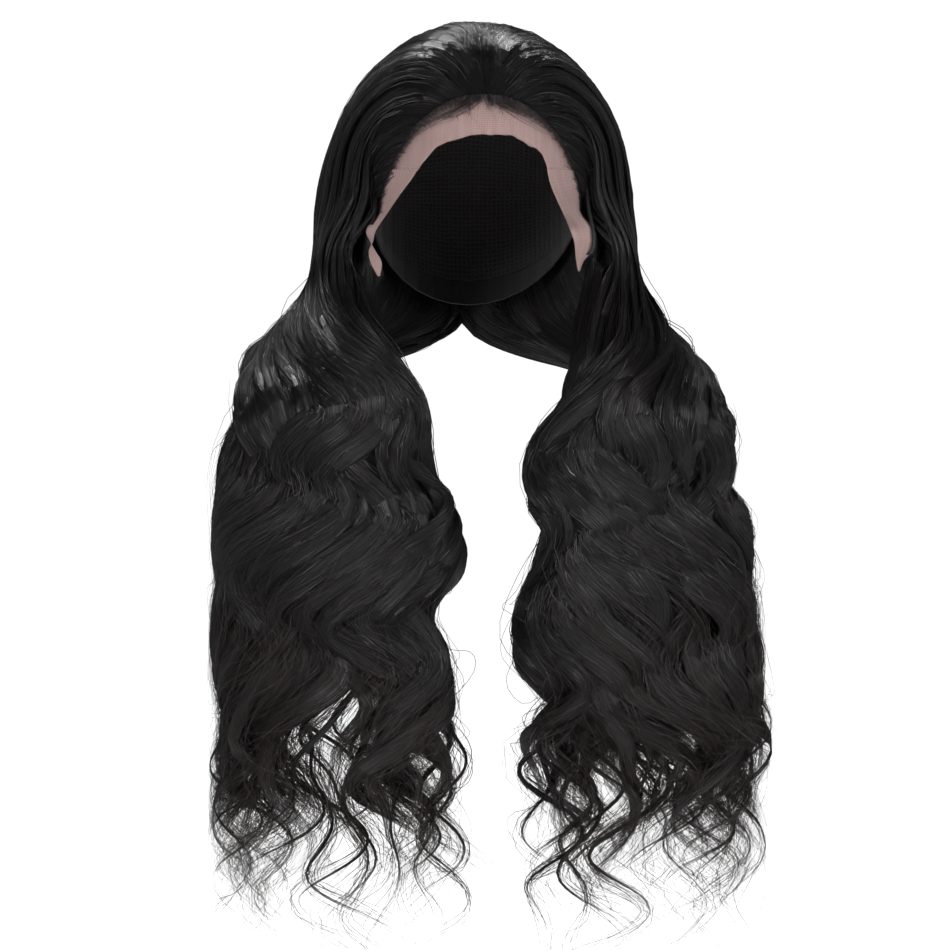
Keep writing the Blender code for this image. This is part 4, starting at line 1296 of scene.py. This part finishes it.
for node, finish in (("net_cap", net), ("nape_band", elastic)):
    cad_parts[node].data.materials.clear()
    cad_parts[node].data.materials.append(finish)

# %% [markdown]
# ## The hairline
#
# Each hair is tied into the lace by hand, one by one along the edge, so the hairline is soft:
# short roots start a few millimetres in front of it and lie back, and finer baby hairs are
# combed forwards along the temples. They are strands on the head's surface.


# %% Single hairs
def fine_strands(name, path, girth, finish):
    """A piece of single hairs along paths, thinner towards their ends."""
    centre = softened(path, 1)
    outward = unit(centre - np.array([0.0, 0.0, -CROWN_RISE]))
    step = np.linspace(0.0, 1.0, path.shape[1])[None]
    ring = strand_rings(centre, outward, girth[:, None] * (1.0 - 0.7 * smooth(step)))
    count = len(path)
    piece = tubes(name, ring, finish, np.zeros((count, path.shape[1])), np.zeros(count), False)
    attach(piece, "root")
    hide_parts("crown_hair")
    print(name, count, "hairs")


SCALP_LIFT = 0.0012  # how high the short hairs lie off the inside of the cap

# %% Roots
ROOTS, ROOT_POINTS, ROOT_LAST = 1700, 6, 77.0
ROOT_LENGTH, MIDDLE_LONGER, MIDDLE_TURN = (0.014, 0.028), 1.2, 12.0
ROOT_AHEAD, ROOT_GIRTH = 0.0028, (0.00012, 0.00022)
SWEEP_TURN, SWEEP_FULL, SWEEP_SPREAD = 100.0, 62.0, 0.25
start = chance.uniform(-1.0, 1.0, ROOTS)
azimuth = ROOT_LAST * np.sign(start) * np.abs(start) ** 0.9
hair_drop = hairline_drop(azimuth)
ahead = chance.exponential(ROOT_AHEAD, ROOTS)
step = np.linspace(0.0, 1.0, ROOT_POINTS)[None]
longer = 1.0 + MIDDLE_LONGER * np.exp(-((azimuth / MIDDLE_TURN) ** 2))
length = chance.uniform(*ROOT_LENGTH, ROOTS) * longer
sweep = np.radians(SWEEP_TURN) * smooth(np.abs(azimuth) / SWEEP_FULL)
sweep = sweep + chance.normal(0.0, SWEEP_SPREAD, ROOTS)
run = length[:, None] * step
circle = HEAD_DEPTH / 2 * np.sin(np.radians(hairline_polar(azimuth)))[:, None]
turned = np.degrees(run * np.sin(sweep)[:, None] / circle)
path_azimuth = azimuth[:, None] + np.sign(start)[:, None] * turned
path_drop = (hair_drop + ahead)[:, None] - run * np.cos(sweep)[:, None] * 0.8
direction = round_crown(path_azimuth, polar_at(path_drop))
risen = smooth(0.2 + (run - ahead[:, None]).clip(0.0) / 0.03)
path_lift = risen * crown_depth(direction) * chance.uniform(0.9, 1.06, ROOTS)[:, None]
path_lift = SCALP_LIFT + path_lift
girth = chance.uniform(*ROOT_GIRTH, ROOTS)
fine_strands("hairline_roots", on_head(direction, path_lift), girth, strand_hair)

# %% Baby hairs
BABY_HAIRS, BABY_POINTS, BABY_RISE, BABY_GIRTH = 84, 20, 0.0030, (0.00010, 0.00022)
BABY_FROM, BABY_TO = (3.0, 5.0), (30.0, 64.0)  # degrees: mean and spread, least and most
BABY_BOW, LEAST_BOW, BABY_TAIL = (0.0075, 0.0035), 0.001, (-0.002, 0.007)
side_of = np.where(chance.random(BABY_HAIRS) < 0.5, -1.0, 1.0)
from_turn = np.abs(chance.normal(*BABY_FROM, BABY_HAIRS))
to_turn = chance.uniform(*BABY_TO, BABY_HAIRS)
step = np.linspace(0.0, 1.0, BABY_POINTS)[None]
turn = from_turn[:, None] + (to_turn - from_turn)[:, None] * step
edge_drop = hairline_drop(turn)
bow = chance.normal(*BABY_BOW, BABY_HAIRS).clip(LEAST_BOW)[:, None]
tail = chance.uniform(*BABY_TAIL, BABY_HAIRS)[:, None]
path_drop = edge_drop + bow * np.sin(math.pi * step**0.8) + tail * step**3
path_lift = SCALP_LIFT + BABY_RISE * step + 0 * path_drop
direction = round_crown(turn * side_of[:, None], polar_at(path_drop))
girth = chance.uniform(*BABY_GIRTH, BABY_HAIRS)
fine_strands("baby_hairs", on_head(direction, path_lift), girth, end_hair)

# %% Forehead hairs
FRINGE, FRINGE_POINTS, FRINGE_GIRTH = 44, 10, 0.00011
FRINGE_SPREAD, FRINGE_TURN, FRINGE_LENGTH = 13.0, 4.0, (0.008, 0.026)
FRINGE_BACK, FRINGE_LIFT, FRINGE_RISE = 0.002, 0.0014, 0.002
turn = chance.normal(0.0, FRINGE_SPREAD, FRINGE)
step = np.linspace(0.0, 1.0, FRINGE_POINTS)[None]
edge_drop = hairline_drop(turn)
length = chance.uniform(*FRINGE_LENGTH, FRINGE)[:, None]
sideways = chance.normal(0.0, FRINGE_TURN, FRINGE)[:, None] * step**2
path_drop = edge_drop[:, None] - FRINGE_BACK + length * step
path_lift = FRINGE_LIFT + FRINGE_RISE * np.sin(math.pi * step) + 0 * path_drop
direction = round_crown(turn[:, None] + sideways, polar_at(path_drop))
girth = np.full(FRINGE, FRINGE_GIRTH)
fine_strands("fringe_hairs", on_head(direction, path_lift), girth, end_hair)

# %% [markdown]
# ## The room
#
# A pale floor, a white surround, a large soft light on each side and a small one over the crown,
# as in a catalogue photograph.

# %% Floor, light and camera
scene = bpy.context.scene
FLOOR_SIZE, FLOOR_DROP = 12.0, 0.78
floor_mesh = bpy.data.meshes.new("floor")
ways = ((-1, -1), (1, -1), (1, 1), (-1, 1))
corners = [(x * FLOOR_SIZE, y * FLOOR_SIZE, -FLOOR_DROP) for x, y in ways]
floor_mesh.from_pydata(corners, [], [(0, 1, 2, 3)])
floor = bpy.data.objects.new("floor", floor_mesh)
scene.collection.objects.link(floor)
pale = {
    "Base Color": (0.9, 0.9, 0.9, 1.0),
    "Roughness": 0.9,
    "Emission Color": (1.0, 1.0, 1.0, 1.0),
}
paper, tree, shader = new_finish("pale_floor", pale)
seen = add(tree, "ShaderNodeLightPath").outputs["Is Camera Ray"]
tree.links.new(seen, shader.inputs["Emission Strength"])
floor_mesh.materials.append(paper)

world = bpy.data.worlds.new("white surround")
world.use_nodes = True
scene.world = world
sky = world.node_tree.nodes["Background"]
seen = add(world.node_tree, "ShaderNodeLightPath").outputs["Is Camera Ray"]
SKY_LIGHT, SKY_SEEN = 0.075, 1.05  # the surround gives little light but looks white
level = map_range(world.node_tree, seen, 0.0, 1.0, SKY_LIGHT, SKY_SEEN)
world.node_tree.links.new(level, sky.inputs["Strength"])
fill(sky, {"Color": (1.0, 1.0, 1.0, 1.0)})


def soft_light(name, place, aim, size, power):
    """An area light that looks from its place at its aim and isn't seen by the camera."""
    lamp = bpy.data.lights.new(name, "AREA")
    lamp.shape = "RECTANGLE"
    lamp.size, lamp.size_y = size
    lamp.energy = power
    made = bpy.data.objects.new(name, lamp)
    made.location = place
    made.rotation_euler = (Vector(aim) - Vector(place)).to_track_quat("-Z", "Y").to_euler()
    made.visible_camera = False
    scene.collection.objects.link(made)


soft_light("key", (-1.5, -1.9, 0.8), (0.0, 0.0, -0.28), (0.9, 1.2), 42.0)
soft_light("fill", (1.8, -1.6, 0.7), (0.0, 0.0, -0.3), (0.9, 1.3), 40.0)
soft_light("top", (-0.06, 0.30, 0.46), (0.0, 0.0, -0.02), (0.16, 0.14), 3.8)

CAMERA_AZIMUTH, CAMERA_ELEVATION, CAMERA_DISTANCE, FRAME_WIDTH = -4.2, 2.0, 2.6, 0.684
CAMERA_AIM = Vector((-0.0014, 0.0, -0.304))
azimuth, elevation = math.radians(CAMERA_AZIMUTH), math.radians(CAMERA_ELEVATION)
back = Vector((
    math.sin(azimuth) * math.cos(elevation),
    -math.cos(azimuth) * math.cos(elevation),
    math.sin(elevation),
))
camera_data = bpy.data.cameras.new("camera")
camera_data.sensor_width = 36.0
camera_data.lens = camera_data.sensor_width * CAMERA_DISTANCE / FRAME_WIDTH
camera = bpy.data.objects.new("camera", camera_data)
camera.location = CAMERA_AIM + back * CAMERA_DISTANCE
camera.rotation_euler = (-back).to_track_quat("-Z", "Y").to_euler()
scene.collection.objects.link(camera)
scene.camera = camera
scene.view_settings.view_transform = "Standard"
scene.cycles.transparent_max_bounces = 32
